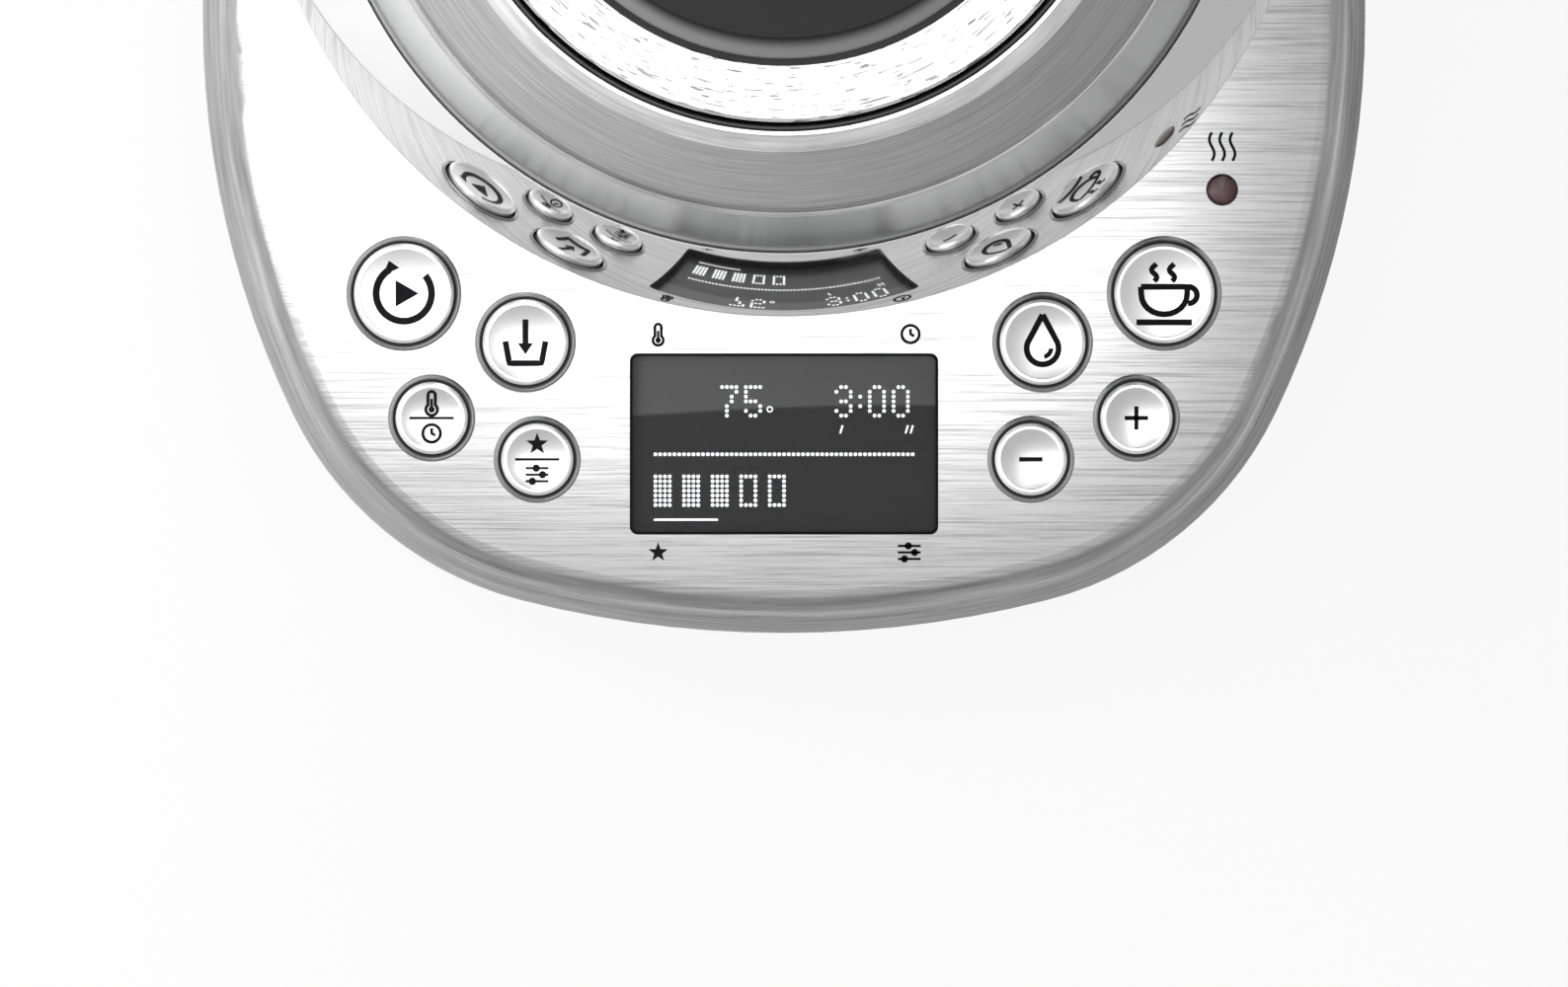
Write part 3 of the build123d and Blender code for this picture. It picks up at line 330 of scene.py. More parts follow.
def panel_finish(colour):
    """Steel brushed across the flat panel, and along the rolled edge and the wall, which get
    painted shade.
    """
    finish = Finish("brushed_panel", metal=1.0, rough=0.3)
    # the share to which the rolled edge and the wall are painted darker than the flat panel:
    # painted shade
    contrast, wall_painted_shade = 2.6, 0.56
    fine = finish.streaks((55, 3600, 40), 4.0, 0.7)
    long = finish.streaks((18, 1200, 14), 3.0, 0.6)
    around = finish.streaks((40, 40, 2600), 5.0, 0.65)
    flat = finish.split(finish.node("ShaderNodeTexCoord", output="Normal"))[2].above(0.97, 0.999)
    streak = (fine * 0.7 + long * 0.3) * flat + (0.6 * around + 0.2) * (1.0 - flat)
    # painted shade: the colour is darker where the surface leaves the flat panel
    level = (0.91 + contrast * (streak - 0.5)) * (wall_painted_shade + (1.0 - wall_painted_shade) * flat)
    finish.dress(
        finish.tint(colour, level.clamped()),
        0.36 - 0.12 * streak + 0.10 * finish.scuffs(30.0, 0.42),
        (streak * (0.02 * MM) + crown(finish), 1.0, 1.0),
    )


def crown(finish):
    """Height of the panel's gentle crown, which falls away towards its edge."""
    cover = Extent("base_cover")
    half = cover.high - cover.middle
    power, begin, fall = 2.7, 0.62, 3.0 * MM
    x, y, z = finish.split(finish.place())
    across = abs((x - cover.middle.x) / half.x) ** power
    along = abs((y - cover.middle.y) / half.y) ** power
    out = (((across + along) ** (1 / power) - begin) / (1.0 - begin)).floored(0.0)
    return out * out * -fall


def turned_finish(name, colour, grain, contrast, rough, painted_highlight_zones=(), dashes=0.0):
    """Steel brushed round the jug's axis, with dashes where the brush skipped.

    Each painted highlight zone is a height, 1 for what lies above it or -1 for what lies below,
    and the share by which its colour is painted lighter, as a painted highlight.
    """
    finish = Finish(name, metal=1.0, rough=rough)
    radius, x, y, z = finish.round_place()
    fine = finish.noise(finish.join(x * 2.0, y * 2.0, (radius + z * 0.8) * grain), 3.0, 0.65)
    short = finish.noise(finish.join(x * 5.0, y * 5.0, (radius * 1.1 + z) * grain), 2.0, 0.6)
    streak = fine * 0.6 + short * 0.4
    level = 0.9 + contrast * (streak - 0.5)
    if dashes:
        skips = finish.noise(finish.join(x * 15.0, y * 15.0, radius * 3400.0), 1.0)
        level = level - dashes * skips.above(0.57, 0.64)
    # painted highlights: bands of the collar painted lighter, standing in for the light they catch
    for edge, side, share in painted_highlight_zones:
        painted_highlight = (z * side).above(edge * side - 0.1 * MM, edge * side + 0.2 * MM)
        level = level * (1.0 + share * painted_highlight)
    finish.dress(finish.tint(colour, level.floored(0.0)), rough + 0.10 * (0.5 - streak),
                 (streak, 0.12, 0.10 * MM))


def mirror_finish(colour):
    """Mirror-polished steel with faint wipe marks."""
    finish = Finish("polished_steel", metal=1.0, rough=0.04, Base_Color=colour)
    wipe = finish.streaks((60, 60, 240), 3.0, 0.6).above(0.5, 0.8)
    finish.dress(rough=0.025 + 0.05 * wipe + 0.05 * finish.scuffs(90.0, 0.4))


def satin_finish(name, colour, rough):
    """Satin steel: very fine grain with a soft sheen."""
    finish = Finish(name, metal=1.0, rough=rough)
    grain = finish.cloud(2600.0, 3.0, 0.6)
    soft = finish.cloud(180.0)
    level = 0.94 + 0.10 * (grain - 0.5) + 0.06 * soft
    finish.dress(finish.tint(colour, level.clamped()), rough - 0.03 + 0.06 * soft,
                 (grain, 0.04, 0.03 * MM))


def blotched_finish(name, rough, spread, scale, detail, edges, clean, dull):
    """Plain metal, from a clean colour to a dull and rougher one in blotches."""
    finish = Finish(name, metal=1.0, rough=rough)
    blotch = finish.cloud(scale, detail, 0.6)
    finish.dress(finish.blend(blotch.above(*edges), clean, dull), rough + spread * blotch)


def plastic_finish(name, colour, rough, grain_size, depth):
    """Moulded plastic with a fine even grain, sized in millimetres, and a little dust."""
    finish = Finish(name, rough=rough, IOR=1.49)
    grain = finish.cloud(1.0 / (grain_size * MM))
    dust = finish.cloud(35.0, 3.0, 0.6)
    finish.dress(
        finish.tint(colour, 0.85 + 0.3 * dust),
        rough - 0.05 + 0.10 * dust + 0.08 * finish.scuffs(60.0, 0.35),
        (grain, 0.35, depth * MM),
    )


def gloss_finish(colour, edge, flat_radius):
    """Gloss black middle of the lid with a satin grey edge outside a radius in millimetres."""
    finish = Finish("gloss_black", rough=0.08, IOR=1.22)
    radius, x, y, z = finish.round_place()
    rim = radius.above((flat_radius - 0.2) * MM, (flat_radius + 2.2) * MM)
    smear = finish.streaks((70, 20, 70), 3.0, 0.6).above(0.5, 0.9)
    finish.dress(finish.blend(rim, colour, edge), 0.07 + 0.30 * rim + 0.05 * smear)


def glass_finish(colour):
    """Clear jug glass, a little uneven, as pressed glass is, and silvery at a slant."""
    finish = Finish("clear_glass", rough=0.0, IOR=1.47, Transmission_Weight=1.0)
    waves = finish.streaks((14, 14, 5), 1.0, 0.4)
    slant = finish.node("ShaderNodeLayerWeight", None, {"Blend": 0.5}, 1).above(0.82, 0.93)
    finish.set("Metallic", 0.85 * slant)
    finish.dress(finish.tint(colour, 1.0 - 0.36 * slant),
                 0.03 * finish.scuffs(45.0, 0.40) + 0.24 * slant, (waves, 0.10, 1.2 * MM))


def window_finish():
    """Clear hard-coated window over the display, with specks of dust."""
    finish = Finish("screen_window", rough=0.05, IOR=1.3, Base_Color=(0.01, 0.01, 0.01))
    dust = finish.cloud(300.0, 5.0, 0.7)
    finish.set("Alpha", 0.06 + 0.03 * dust.above(0.60, 0.80))
    finish.dress(rough=0.05 + 0.05 * dust.above(0.5, 0.8))


def screen_finish(colour, painted_glare):
    """Dark display face, with a painted glare that makes it lighter above a gently bowed line."""
    finish = Finish("display_face", rough=0.3, IOR=1.25)
    x, y, z = finish.split(finish.place())
    x = (x - SCREEN.x) * (1.0 / MM)
    y = (y - SCREEN.y) * (1.0 / MM)
    # the bowed edge of a painted glare: a reflection painted into the face's colour
    line = 5.9 + 0.036 * x - 0.00085 * x * x
    face = finish.blend((y - line).above(-0.35, 0.35), colour, painted_glare)
    finish.dress(finish.tint(face, 0.92 + 0.16 * finish.cloud(3000.0)))


def dot_finish(colour):
    """Lit white dots."""
    finish = Finish("lit_dots", rough=0.5, Emission_Strength=0.72)
    lit = finish.tint(colour, 0.9 + 0.1 * finish.cloud(900.0))
    finish.dress(lit)
    finish.set("Emission Color", lit)


def lamp_finish(colour, centre, lens):
    """Dark red lens of a radius in millimetres, darker round its edge and in its middle."""
    finish = Finish("lamp_red", rough=0.12, IOR=1.5)
    x, y, z = finish.split(finish.place())
    x = x - centre.x
    y = y - centre.y
    out = ((x * x + y * y) ** 0.5) / (lens * MM)
    level = 1.0 - 0.65 * out.above(0.80, 0.90) - 0.18 * (1.0 - out.above(0.16, 0.34))
    ripple = out.wave(40.0)
    finish.dress(finish.tint(colour, level - 0.08 * ripple), relief=(ripple, 0.2, 0.05 * MM))


def ink_finish(colour):
    """Printing ink with slightly uneven cover."""
    finish = Finish("ink", rough=0.5, IOR=1.12)
    finish.dress(finish.tint(colour, 0.7 + 0.6 * finish.cloud(1500.0, 3.0, 0.6)))


def rubber_finish(colour):
    """Matt rubber with a faint bloom."""
    finish = Finish("rubber_black", rough=0.75, IOR=1.45)
    bloom = finish.cloud(120.0, 5.0, 0.7)
    finish.dress(finish.tint(colour, 0.7 + 0.9 * bloom), 0.68 + 0.2 * bloom,
                 (bloom, 0.3, 0.05 * MM))


def board_finish():
    """Green solder mask with copper tracks under it."""
    finish = Finish("board", rough=0.35, IOR=1.5)
    x, y, z = finish.split(finish.place())
    tracks = (x.wave(2100.0) + y.wave(1700.0) - 0.5).above(0.35, 0.5)
    tracks = tracks * finish.cloud(110.0, 0.0).above(0.48, 0.5)
    finish.dress(finish.blend(tracks, (0.012, 0.10, 0.035), (0.04, 0.20, 0.07)),
                 relief=(tracks, 0.3, 0.04 * MM))


def cable_finish():
    """Flat cable with its parallel cores."""
    finish = Finish("ribbon", rough=0.5)
    cores = finish.split(finish.place())[0].wave(4900.0)
    finish.dress(finish.blend(cores, (0.30, 0.30, 0.29), (0.62, 0.62, 0.60)),
                 relief=(cores, 0.5, 0.2 * MM))


def make_finishes(look):
    """Every finish, made once, under its own name."""
    collar, lamp = Extent("jug_collar"), Extent("lamp_lens")
    rim_foot, bead_top = collar.high.z - 2.1 * MM, collar.low.z + 5.0 * MM
    # painted highlights: the crown above the rim's foot and the bead below its top are painted
    # lighter
    painted_highlight_zones = ((rim_foot, 1, 0.62), (bead_top, -1, 0.35))
    panel_finish(look.panel)
    turned_finish("brushed_collar", look.collar, 2400.0, 1.6, 0.30, painted_highlight_zones)
    turned_finish("brushed_ring", look.ring, 2600.0, 0.9, 0.26, dashes=0.66)
    turned_finish("plain_steel", look.plain, 2600.0, 0.4, 0.28)
    mirror_finish(look.mirror)
    satin_finish("button_steel", look.satin, 0.30)
    satin_finish("bezel_steel", look.bezel, 0.22)
    blotched_finish("screw_steel", 0.26, 0.20, 500.0, 4.0, (0.4, 0.8),
                    clean=(0.60, 0.60, 0.61), dull=(0.44, 0.43, 0.41))
    blotched_finish("contact_brass", 0.22, 0.25, 300.0, 4.0, (0.4, 0.8),
                    clean=(0.78, 0.58, 0.26), dull=(0.42, 0.29, 0.13))
    blotched_finish("heater", 0.40, 0.20, 60.0, 3.0, (0.35, 0.7),
                    clean=(0.52, 0.51, 0.49), dull=(0.34, 0.27, 0.20))
    plastic_finish("black_plastic", look.black, 0.46, 0.5, 0.03)
    plastic_finish("handle_plastic", look.black, 0.40, 0.35, 0.035)
    plastic_finish("knob_gloss", look.gloss, 0.14, 0.6, 0.004)
    plastic_finish("seal_black", look.seal, 0.5, 0.5, 0.02)
    plastic_finish("seal_grey", look.grey_seal, 0.6, 0.5, 0.02)
    rubber_finish(look.rubber)
    gloss_finish(look.gloss, look.edge, Extent("lid_centre").half - LID_BEVEL)
    glass_finish(look.glass)
    window_finish()
    screen_finish(look.screen, look.painted_glare)
    dot_finish(look.dots)
    lamp_finish(look.lamp, lamp.middle, lamp.half - LAMP_FLANGE)
    ink_finish(look.ink)
    board_finish()
    cable_finish()


NODE_FINISHES = {
    "brushed_panel": ["base_cover"],
    "plain_steel": ["jug_floor", "lift_post", "temp_sensor"],
    "screw_steel": ["base_screws", "floor_screws", "lead_screw", "motor_pulley", "lift_motor",
                    "magnet_carriage"],
    "heater": ["heating_element"],
    "black_plastic": ["base_tray", "base_chassis", "collar_liner", "lid_body", "floor_cover",
                      "base_connector", "jug_connector", "cord_inlet", "tact_switches",
                      "basket_bracket", "lcd_module"],
    "handle_plastic": ["handle_front", "handle_rear"],
    "rubber_black": ["floor_gasket", "collar_gasket", "drive_belt"],
    "seal_black": ["lid_seal"],
    "lamp_red": ["lamp_led"],
    "board": ["control_board", "power_board"],
    "ribbon": ["ribbon_cable"],
    "contact_brass": ["connector_contacts", "jug_pins", "lead_bushes"],
}


# ---- mesh helpers


def link_mesh(mesh, name):
    """Turn a bmesh into an object of the scene."""
    data = bpy.data.meshes.new(name)
    mesh.to_mesh(data)
    mesh.free()
    piece = bpy.data.objects.new(name, data)
    bpy.context.scene.collection.objects.link(piece)
    return piece


def add_piece(mesh, name, finish, body, replaced=(), sharp=30.0):
    """Turn a bmesh into a named piece that rides on a body."""
    bmesh.ops.remove_doubles(mesh, verts=mesh.verts, dist=0.002 * MM)
    bmesh.ops.recalc_face_normals(mesh, faces=mesh.faces)
    piece = link_mesh(mesh, name)
    piece.data.shade_smooth()
    piece.data.set_sharp_from_angle(angle=math.radians(sharp))
    piece.data.materials.append(Finish.made[finish])
    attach(piece, body)
    if replaced:
        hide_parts(*replaced)
    return piece


def add_turned(name, finish, body, centre, profile, segments=256, closed=True, replaced=()):
    """A named piece turned about an upright line."""
    mesh = bmesh.new()
    lathe(mesh, profile, centre, segments, closed)
    return add_piece(mesh, name, finish, body, replaced)


def apply_modifiers(piece):
    """Make the evaluated mesh the piece's own."""
    bpy.context.view_layer.update()
    ready = piece.evaluated_get(bpy.context.evaluated_depsgraph_get())
    data = bpy.data.meshes.new_from_object(ready)
    piece.modifiers.clear()
    piece.data = data
    data.set_sharp_from_angle(angle=math.radians(30.0))


def thicken(piece, thickness):
    """Give a skin its sheet's thickness, in millimetres, inwards."""
    sheet = piece.modifiers.new("sheet", "SOLIDIFY")
    sheet.thickness = thickness * MM
    sheet.offset = -1.0
    apply_modifiers(piece)


def circle(count):
    """Cosine and sine of evenly spaced angles round a circle."""
    angles = [2 * math.pi * index / count for index in range(count)]
    return [(math.cos(angle), math.sin(angle)) for angle in angles]


def skin(mesh, loops, closed=False, ring=True):
    """Faces between neighbouring loops of as many points, or of one point.

    If closed, the last loop meets the first. In a ring, a loop's last point meets its first.
    """
    for low, high in zip(loops, loops[1:] + (loops[:1] if closed else [])):
        count = max(len(low), len(high))
        for index in range(count if ring else count - 1):
            after = index + 1
            corners = (low[index % len(low)], low[after % len(low)],
                       high[after % len(high)], high[index % len(high)])
            mesh.faces.new(list(dict.fromkeys(corners)))


def soft_profile(points, steps):
    """Points of (x, y) or (x, y, corner radius), with the corners rounded in so many steps.

    A short straight on both sides of a corner keeps the shading of long walls even.
    """
    result = []
    for index, point in enumerate(points):
        here = Vector(point[:2])
        if len(point) < 3:
            result.append(here)
            continue
        before = Vector(points[index - 1][:2]) - here
        after = Vector(points[(index + 1) % len(points)][:2]) - here
        guards = min(0.25, 0.2 * before.length), min(0.25, 0.2 * after.length)
        before, after = before.normalized(), after.normalized()
        turn = math.acos(max(-1.0, min(1.0, before.dot(after))))
        reach = point[2] / math.tan(turn / 2)
        centre = here + (before + after).normalized() * (point[2] / math.sin(turn / 2))
        start = here + before * reach - centre
        end = here + after * reach - centre
        sweep = math.atan2(start.x * end.y - start.y * end.x, start.dot(end))
        result.append(here + before * (reach + guards[0]))
        for step in range(steps + 1):
            cosine, sine = math.cos(sweep * step / steps), math.sin(sweep * step / steps)
            turned = (start.x * cosine - start.y * sine, start.x * sine + start.y * cosine)
            result.append(centre + Vector(turned))
        result.append(here + after * (reach + guards[1]))
    return result


def lathe(mesh, profile, centre, segments, closed=True, steps=5):
    """Turn a profile, in millimetres, about an upright line through the centre.

    Its points are (radius, height) or (radius, height, corner radius).
    """
    rings = []
    for radius, height in soft_profile(profile, steps):
        ways = circle(segments) if radius > 1e-6 else [(0.0, 0.0)]
        rings.append([mesh.verts.new(centre + Vector((radius * x, radius * y, height)) * MM)
                      for x, y in ways])
    skin(mesh, rings, closed)


def stack(mesh, centre, levels, closed=False, parts=8):
    """Join rounded rectangles of (half width, half depth, corner radius, height)."""
    loops = []
    for half_x, half_y, corner, height in levels:
        loop = []
        for quarter, (x, y) in enumerate(((1, 1), (-1, 1), (-1, -1), (1, -1))):
            for part in range(parts + 1):
                angle = math.pi / 2 * (quarter + part / parts)
                u = x * (half_x - corner) + corner * math.cos(angle)
                v = y * (half_y - corner) + corner * math.sin(angle)
                loop.append(mesh.verts.new(centre + Vector((u, v, height)) * MM))
        loops.append(loop)
    if not closed:
        mesh.faces.new(loops[0])
        mesh.faces.new(loops[-1])
    skin(mesh, loops, closed)


# ---- printed marks


class Print:
    """Thin marks on a surface, which gives the place in the frame for local millimetres.

    Points and radii are shares of the current mark's size, from its centre, and weights are
    shares of its line width.
    """

    def __init__(self, surface, depth):
        self.mesh = bmesh.new()
        self.surface = surface
        self.rise = Vector((0, 0, depth))
        self.centre, self.size, self.width = Vector((0, 0)), 1.0, 1.0

    def put(self, mark, centre, size, width):
        """Draw a mark round a centre, with its size and line width in millimetres."""
        before = self.centre, self.size, self.width
        self.centre, self.size, self.width = Vector(centre), size, width
        mark(self)
        self.centre, self.size, self.width = before

    def spot(self, point):
        """A point of the mark, in local millimetres."""
        return self.centre + Vector(point) * self.size

    def slab(self, rows):
        """A raised strip over rows of left and right points, in local millimetres."""
        loops = []
        for row in rows:
            left, right = (self.surface(*spot) for spot in row)
            outline = (left, left + self.rise, right + self.rise, right)
            loops.append([self.mesh.verts.new(spot) for spot in outline])
        skin(self.mesh, loops, ring=False)
        self.mesh.faces.new(loops[0])
        self.mesh.faces.new(loops[-1])

    def line(self, points, weight=1.0, step=0.8):
        """A line through points, cut to steps in millimetres, so that it follows the surface."""
        spots = [self.spot(point) for point in points]
        fine = spots[:1]
        for start, end in zip(spots, spots[1:]):
            parts = max(1, round((end - start).length / step))
            fine += [start.lerp(end, part / parts) for part in range(1, parts + 1)]
        rows = []
        for index, spot in enumerate(fine):
            along = fine[min(len(fine) - 1, index + 1)] - fine[max(0, index - 1)]
            side = Vector((-along.y, along.x)).normalized() * weight * self.width / 2
            rows.append((spot + side, spot - side))
        self.slab(rows)

    def arc(self, centre, radius, start, end, weight=1.0, parts=28):
        """An arc of a ring, between two angles in degrees."""
        middle, radius, half = self.spot(centre), radius * self.size, weight * self.width / 2
        rows = []
        for part in range(parts + 1):
            angle = math.radians(start + (end - start) * part / parts)
            way = Vector((math.cos(angle), math.sin(angle)))
            rows.append((middle + way * (radius + half), middle + way * (radius - half)))
        self.slab(rows)

    def fan(self, points):
        """A filled shape round its own middle."""
        spots = [self.spot(point) for point in points]
        centre = sum(spots, Vector((0, 0))) / len(spots)
        for first, second in zip(spots, spots[1:] + spots[:1]):
            self.slab([(first, centre), (second, centre)])

    def disc(self, centre, radius):
        """A filled dot."""
        self.fan([Vector(centre) + Vector(way) * radius for way in circle(12)])


def round_points(centre, radius, start, turn, count, flat=1.0):
    """Points round a centre, from a start angle on, in degrees, pressed to a share in height."""
    angles = [math.radians(start + turn * index) for index in range(count)]
    return [(centre[0] + radius * math.cos(angle), centre[1] + flat * radius * math.sin(angle))
            for angle in angles]


def curl(x, y, swing, turn, rise):
    """Points of a rising curl."""
    return [(x + swing * math.sin(index * turn), y + rise * index) for index in range(10)]


def thermometer(ink):
    """A thermometer."""
    half, top, low, bulb = 0.17, 0.36, -0.16, (0, -0.32)
    ink.arc((0, top), half, 0, 180, parts=8)
    ink.line([(-half, top), (-half, low)])
    ink.line([(half, top), (half, low)])
    ink.arc(bulb, half * 1.6, -235, 55, parts=16)
    ink.disc(bulb, half * 0.9)
    ink.line([(0, -0.3), (0, 0.18)], 0.9)


def clock(ink):
    """A clock face."""
    ink.arc((0, 0), 0.46, 0, 360)
    ink.line([(0, 0.28), (0, 0), (0.2, -0.1)], step=0.2)


def star(ink):
    """A five-pointed star."""
    tips = round_points((0, 0), 0.54, 90, 72, 5)
    notches = round_points((0, 0), 0.22, 126, 72, 5)
    ink.fan([point for pair in zip(tips, notches) for point in pair])


def sliders(ink):
    """Three sliders."""
    for row, knob in ((-0.34, -0.25), (0.0, 0.28), (0.34, -0.05)):
        ink.line([(-0.6, row), (0.6, row)], 0.8)
        ink.disc((knob, row), 1.25 * ink.width / ink.size)


def steam(ink):
    """Three curls of steam."""
    for x in (-0.36, 0.0, 0.36):
        ink.line(curl(x, -0.5, 0.09, 0.7, 1 / 9), step=0.3)


def drop(ink):
    """A drop of water."""
    tip, belly = (0, 0.62), (0, -0.14)
    ink.line([tip] + round_points(belly, 0.36, 35, -250 / 18, 19) + [tip], step=0.5)
    ink.arc(belly, 0.19, -80, 0, 0.8, 8)


def cup(ink):
    """A steaming cup on a saucer."""
    side, rim = 0.42, 0.12
    bowl = round_points((0, -0.02), side * 0.98, 180, 15, 13, 0.85 / 0.98)
    ink.line([(-side, rim)] + bowl + [(side, rim), (-side, rim)], step=0.5)
    ink.arc((side * 1.05, -0.03), 0.15, -95, 95, parts=10)
    ink.line([(-0.5, -0.52), (0.5, -0.52)])
    for x in (-0.18, 0.14):
        ink.line(curl(x, 0.22, 0.05, 0.8, 0.035), 0.9, 0.3)


def start_mark(ink):
    """A triangle in an open ring with an arrow head."""
    ink.arc((0, 0), 0.5, 120, 400)
    x, y = round_points((0, 0), 0.5, 120, 0, 1)[0]
    ink.fan([(x - 0.13, y - 0.11), (x - 0.02, y + 0.16), (x + 0.17, y + 0.03)])
    ink.fan([(-0.15, 0.24), (-0.15, -0.24), (0.27, 0)])


def steep_mark(ink):
    """An arrow down into a basket."""
    side, foot = 0.44, 0.352
    ink.line([(-side, 0.02), (-foot, -0.46), (foot, -0.46), (side, 0.02)], step=0.5)
    ink.line([(0, 0.5), (0, -0.08)])
    ink.fan([(-0.17, -0.02), (0.17, -0.02), (0, -0.27)])


def minus_mark(ink):
    """A minus sign."""
    ink.line([(-0.5, 0), (0.5, 0)])


def plus_mark(ink):
    """A plus sign."""
    minus_mark(ink)
    ink.line([(0, -0.5), (0, 0.5)])


def two_marks(upper, lower):
    """One mark over another with a line between them, 0.42 mm wide."""

    def draw(ink):
        width = ink.width * 0.62
        ink.put(upper, ink.spot((0, 0.40)), ink.size * 0.56, width)
        ink.put(lower, ink.spot((0, -0.40)), ink.size * 0.50, width)
        ink.line([(-0.58, 0), (0.58, 0)], 0.42 / ink.width)

    return draw


# mark, its height in millimetres, and its line width over the common one
BUTTON_MARKS = {
    "start_button": (start_mark, 9.0, 2.5),
    "tea_button": (cup, 9.0, 2.1),
    "steep_button": (steep_mark, 7.4, 2.1),
    "water_button": (drop, 7.2, 2.1),
    "set_button": (two_marks(thermometer, clock), 6.2, 1.85),
    "plus_button": (plus_mark, 3.8, 1.5),
    "custom_button": (two_marks(star, sliders), 6.2, 1.75),
    "minus_button": (minus_mark, 3.8, 1.6),
}
# label marks on the panel, and their places from the middle of the screen, in millimetres
PANEL_MARKS = [
    (thermometer, (-20.4, 17.8)),
    (clock, (20.5, 17.8)),
    (star, (-20.4, -17.6)),
    (sliders, (20.3, -17.6)),
]


def screen_level(z):
    """A flat surface at a height, with its middle at the screen's."""
    return lambda u, v: Vector((SCREEN.x + u * MM, SCREEN.y + v * MM, z))


# ---- operators; their sizes are in millimetres unless said otherwise


class TeaMakerStep:
    """What every step shares: it can be undone."""

    bl_options = {"REGISTER", "UNDO"}


class DressSolids(TeaMakerStep, bpy.types.Operator):
    """Give each solid that stays its own finish"""

    bl_idname = "tea_maker.dress_solids"
    bl_label = "Dress solids"

    def execute(self, context):
        make_finishes(context.scene.tea_maker_finish)
        for name, nodes in NODE_FINISHES.items():
            for node in nodes:
                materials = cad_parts[node].data.materials
                materials.clear()
                materials.append(Finish.made[name])
        return {"FINISHED"}


class MakeButtons(TeaMakerStep, bpy.types.Operator):
    """Make the eight dished buttons with their printed marks"""

    bl_idname = "tea_maker.make_buttons"
    bl_label = "Buttons"

    # from the flange's edge in to the cap's, and from there in to the rim's top and to the dish
    flange, rim, dish = 1.36, 0.45, 1.05
    # how deep the dish is, and how far its edge lies under the rim
    dish_depth, dish_drop = 0.62, 0.22
    dish_steps = 14

    def execute(self, context):
        for name, mark in BUTTON_MARKS.items():
            self.make_button(name, mark, context.scene.tea_maker_sizes)
        return {"FINISHED"}

    def make_button(self, name, mark, sizes):
        """One button: its steel cap, its plastic body and its mark."""
        button = Extent(name)
        edge = button.half - self.flange
        dish = edge - self.dish

        def dip(radius):
            """Height of the dished top under the rim."""
            share = min(1.0, radius / dish)
            return -self.dish_drop - self.dish_depth * (1 - share * share)

        def on_dish(u, v):
            return button.top + Vector((u, v, dip(math.hypot(u, v)))) * MM

        def turned(part, finish, profile, segments, replaced=()):
            add_turned(name.replace("button", part), finish, name, button.top, profile, segments,
                       False, replaced)

        skirt = (PANEL_Z - button.high.z) / MM - 0.1
        under = skirt - 1.4
        steps = [dish * step / self.dish_steps for step in range(self.dish_steps + 1)]
        turned("cap", "button_steel", [(radius, dip(radius)) for radius in steps] + [
            (dish + 0.06, 0.0, 0.1), (edge - self.rim, 0.0, 0.16), (edge, -0.48, 0.12),
            (edge, skirt), (edge - 0.5, skirt), (0.0, skirt),
        ], 128, [name])
        turned("body", "black_plastic", [
            (0.0, skirt), (edge - 0.02, skirt), (edge - 0.02, under), (button.half, under, 0.2),
            (button.half, under - 1.0, 0.2), (2.0, under - 1.0), (2.0, -button.tall, 0.3),
            (0.0, -button.tall),
        ], 96)
        shape, size, weight = mark
        ink = Print(on_dish, sizes.print_depth)
        ink.put(shape, (0, 0), size, sizes.stroke / MM * weight)
        add_piece(ink.mesh, name.replace("button", "mark"), "ink", name)


class MakeBezels(TeaMakerStep, bpy.types.Operator):
    """Make the rounded ring round each button's hole"""

    bl_idname = "tea_maker.make_bezels"
    bl_label = "Bezels"

    # how far the ring's outside lies in from the button's flange, its wall, and its lip
    inset, wall, lip = 0.40, 0.45, 0.28

    def execute(self, context):
        mesh = bmesh.new()
        rings = Extent("button_rings")
        seat = (PANEL_Z - rings.high.z) / MM + 0.02
        for name in BUTTON_MARKS:
            button = Extent(name)
            outer = button.half - self.inset
            inner, lip = outer - self.wall, outer + self.lip
            lathe(mesh, [
                (inner, -rings.tall), (outer, -rings.tall), (outer, seat), (lip, seat),
                (lip, seat + 0.05), (outer - 0.12, 0.0, 0.1), (inner, -0.2),
            ], at_height(button.middle, rings.high.z), 96)
        add_piece(mesh, "bezels", "bezel_steel", "base", ["button_rings"])
        return {"FINISHED"}


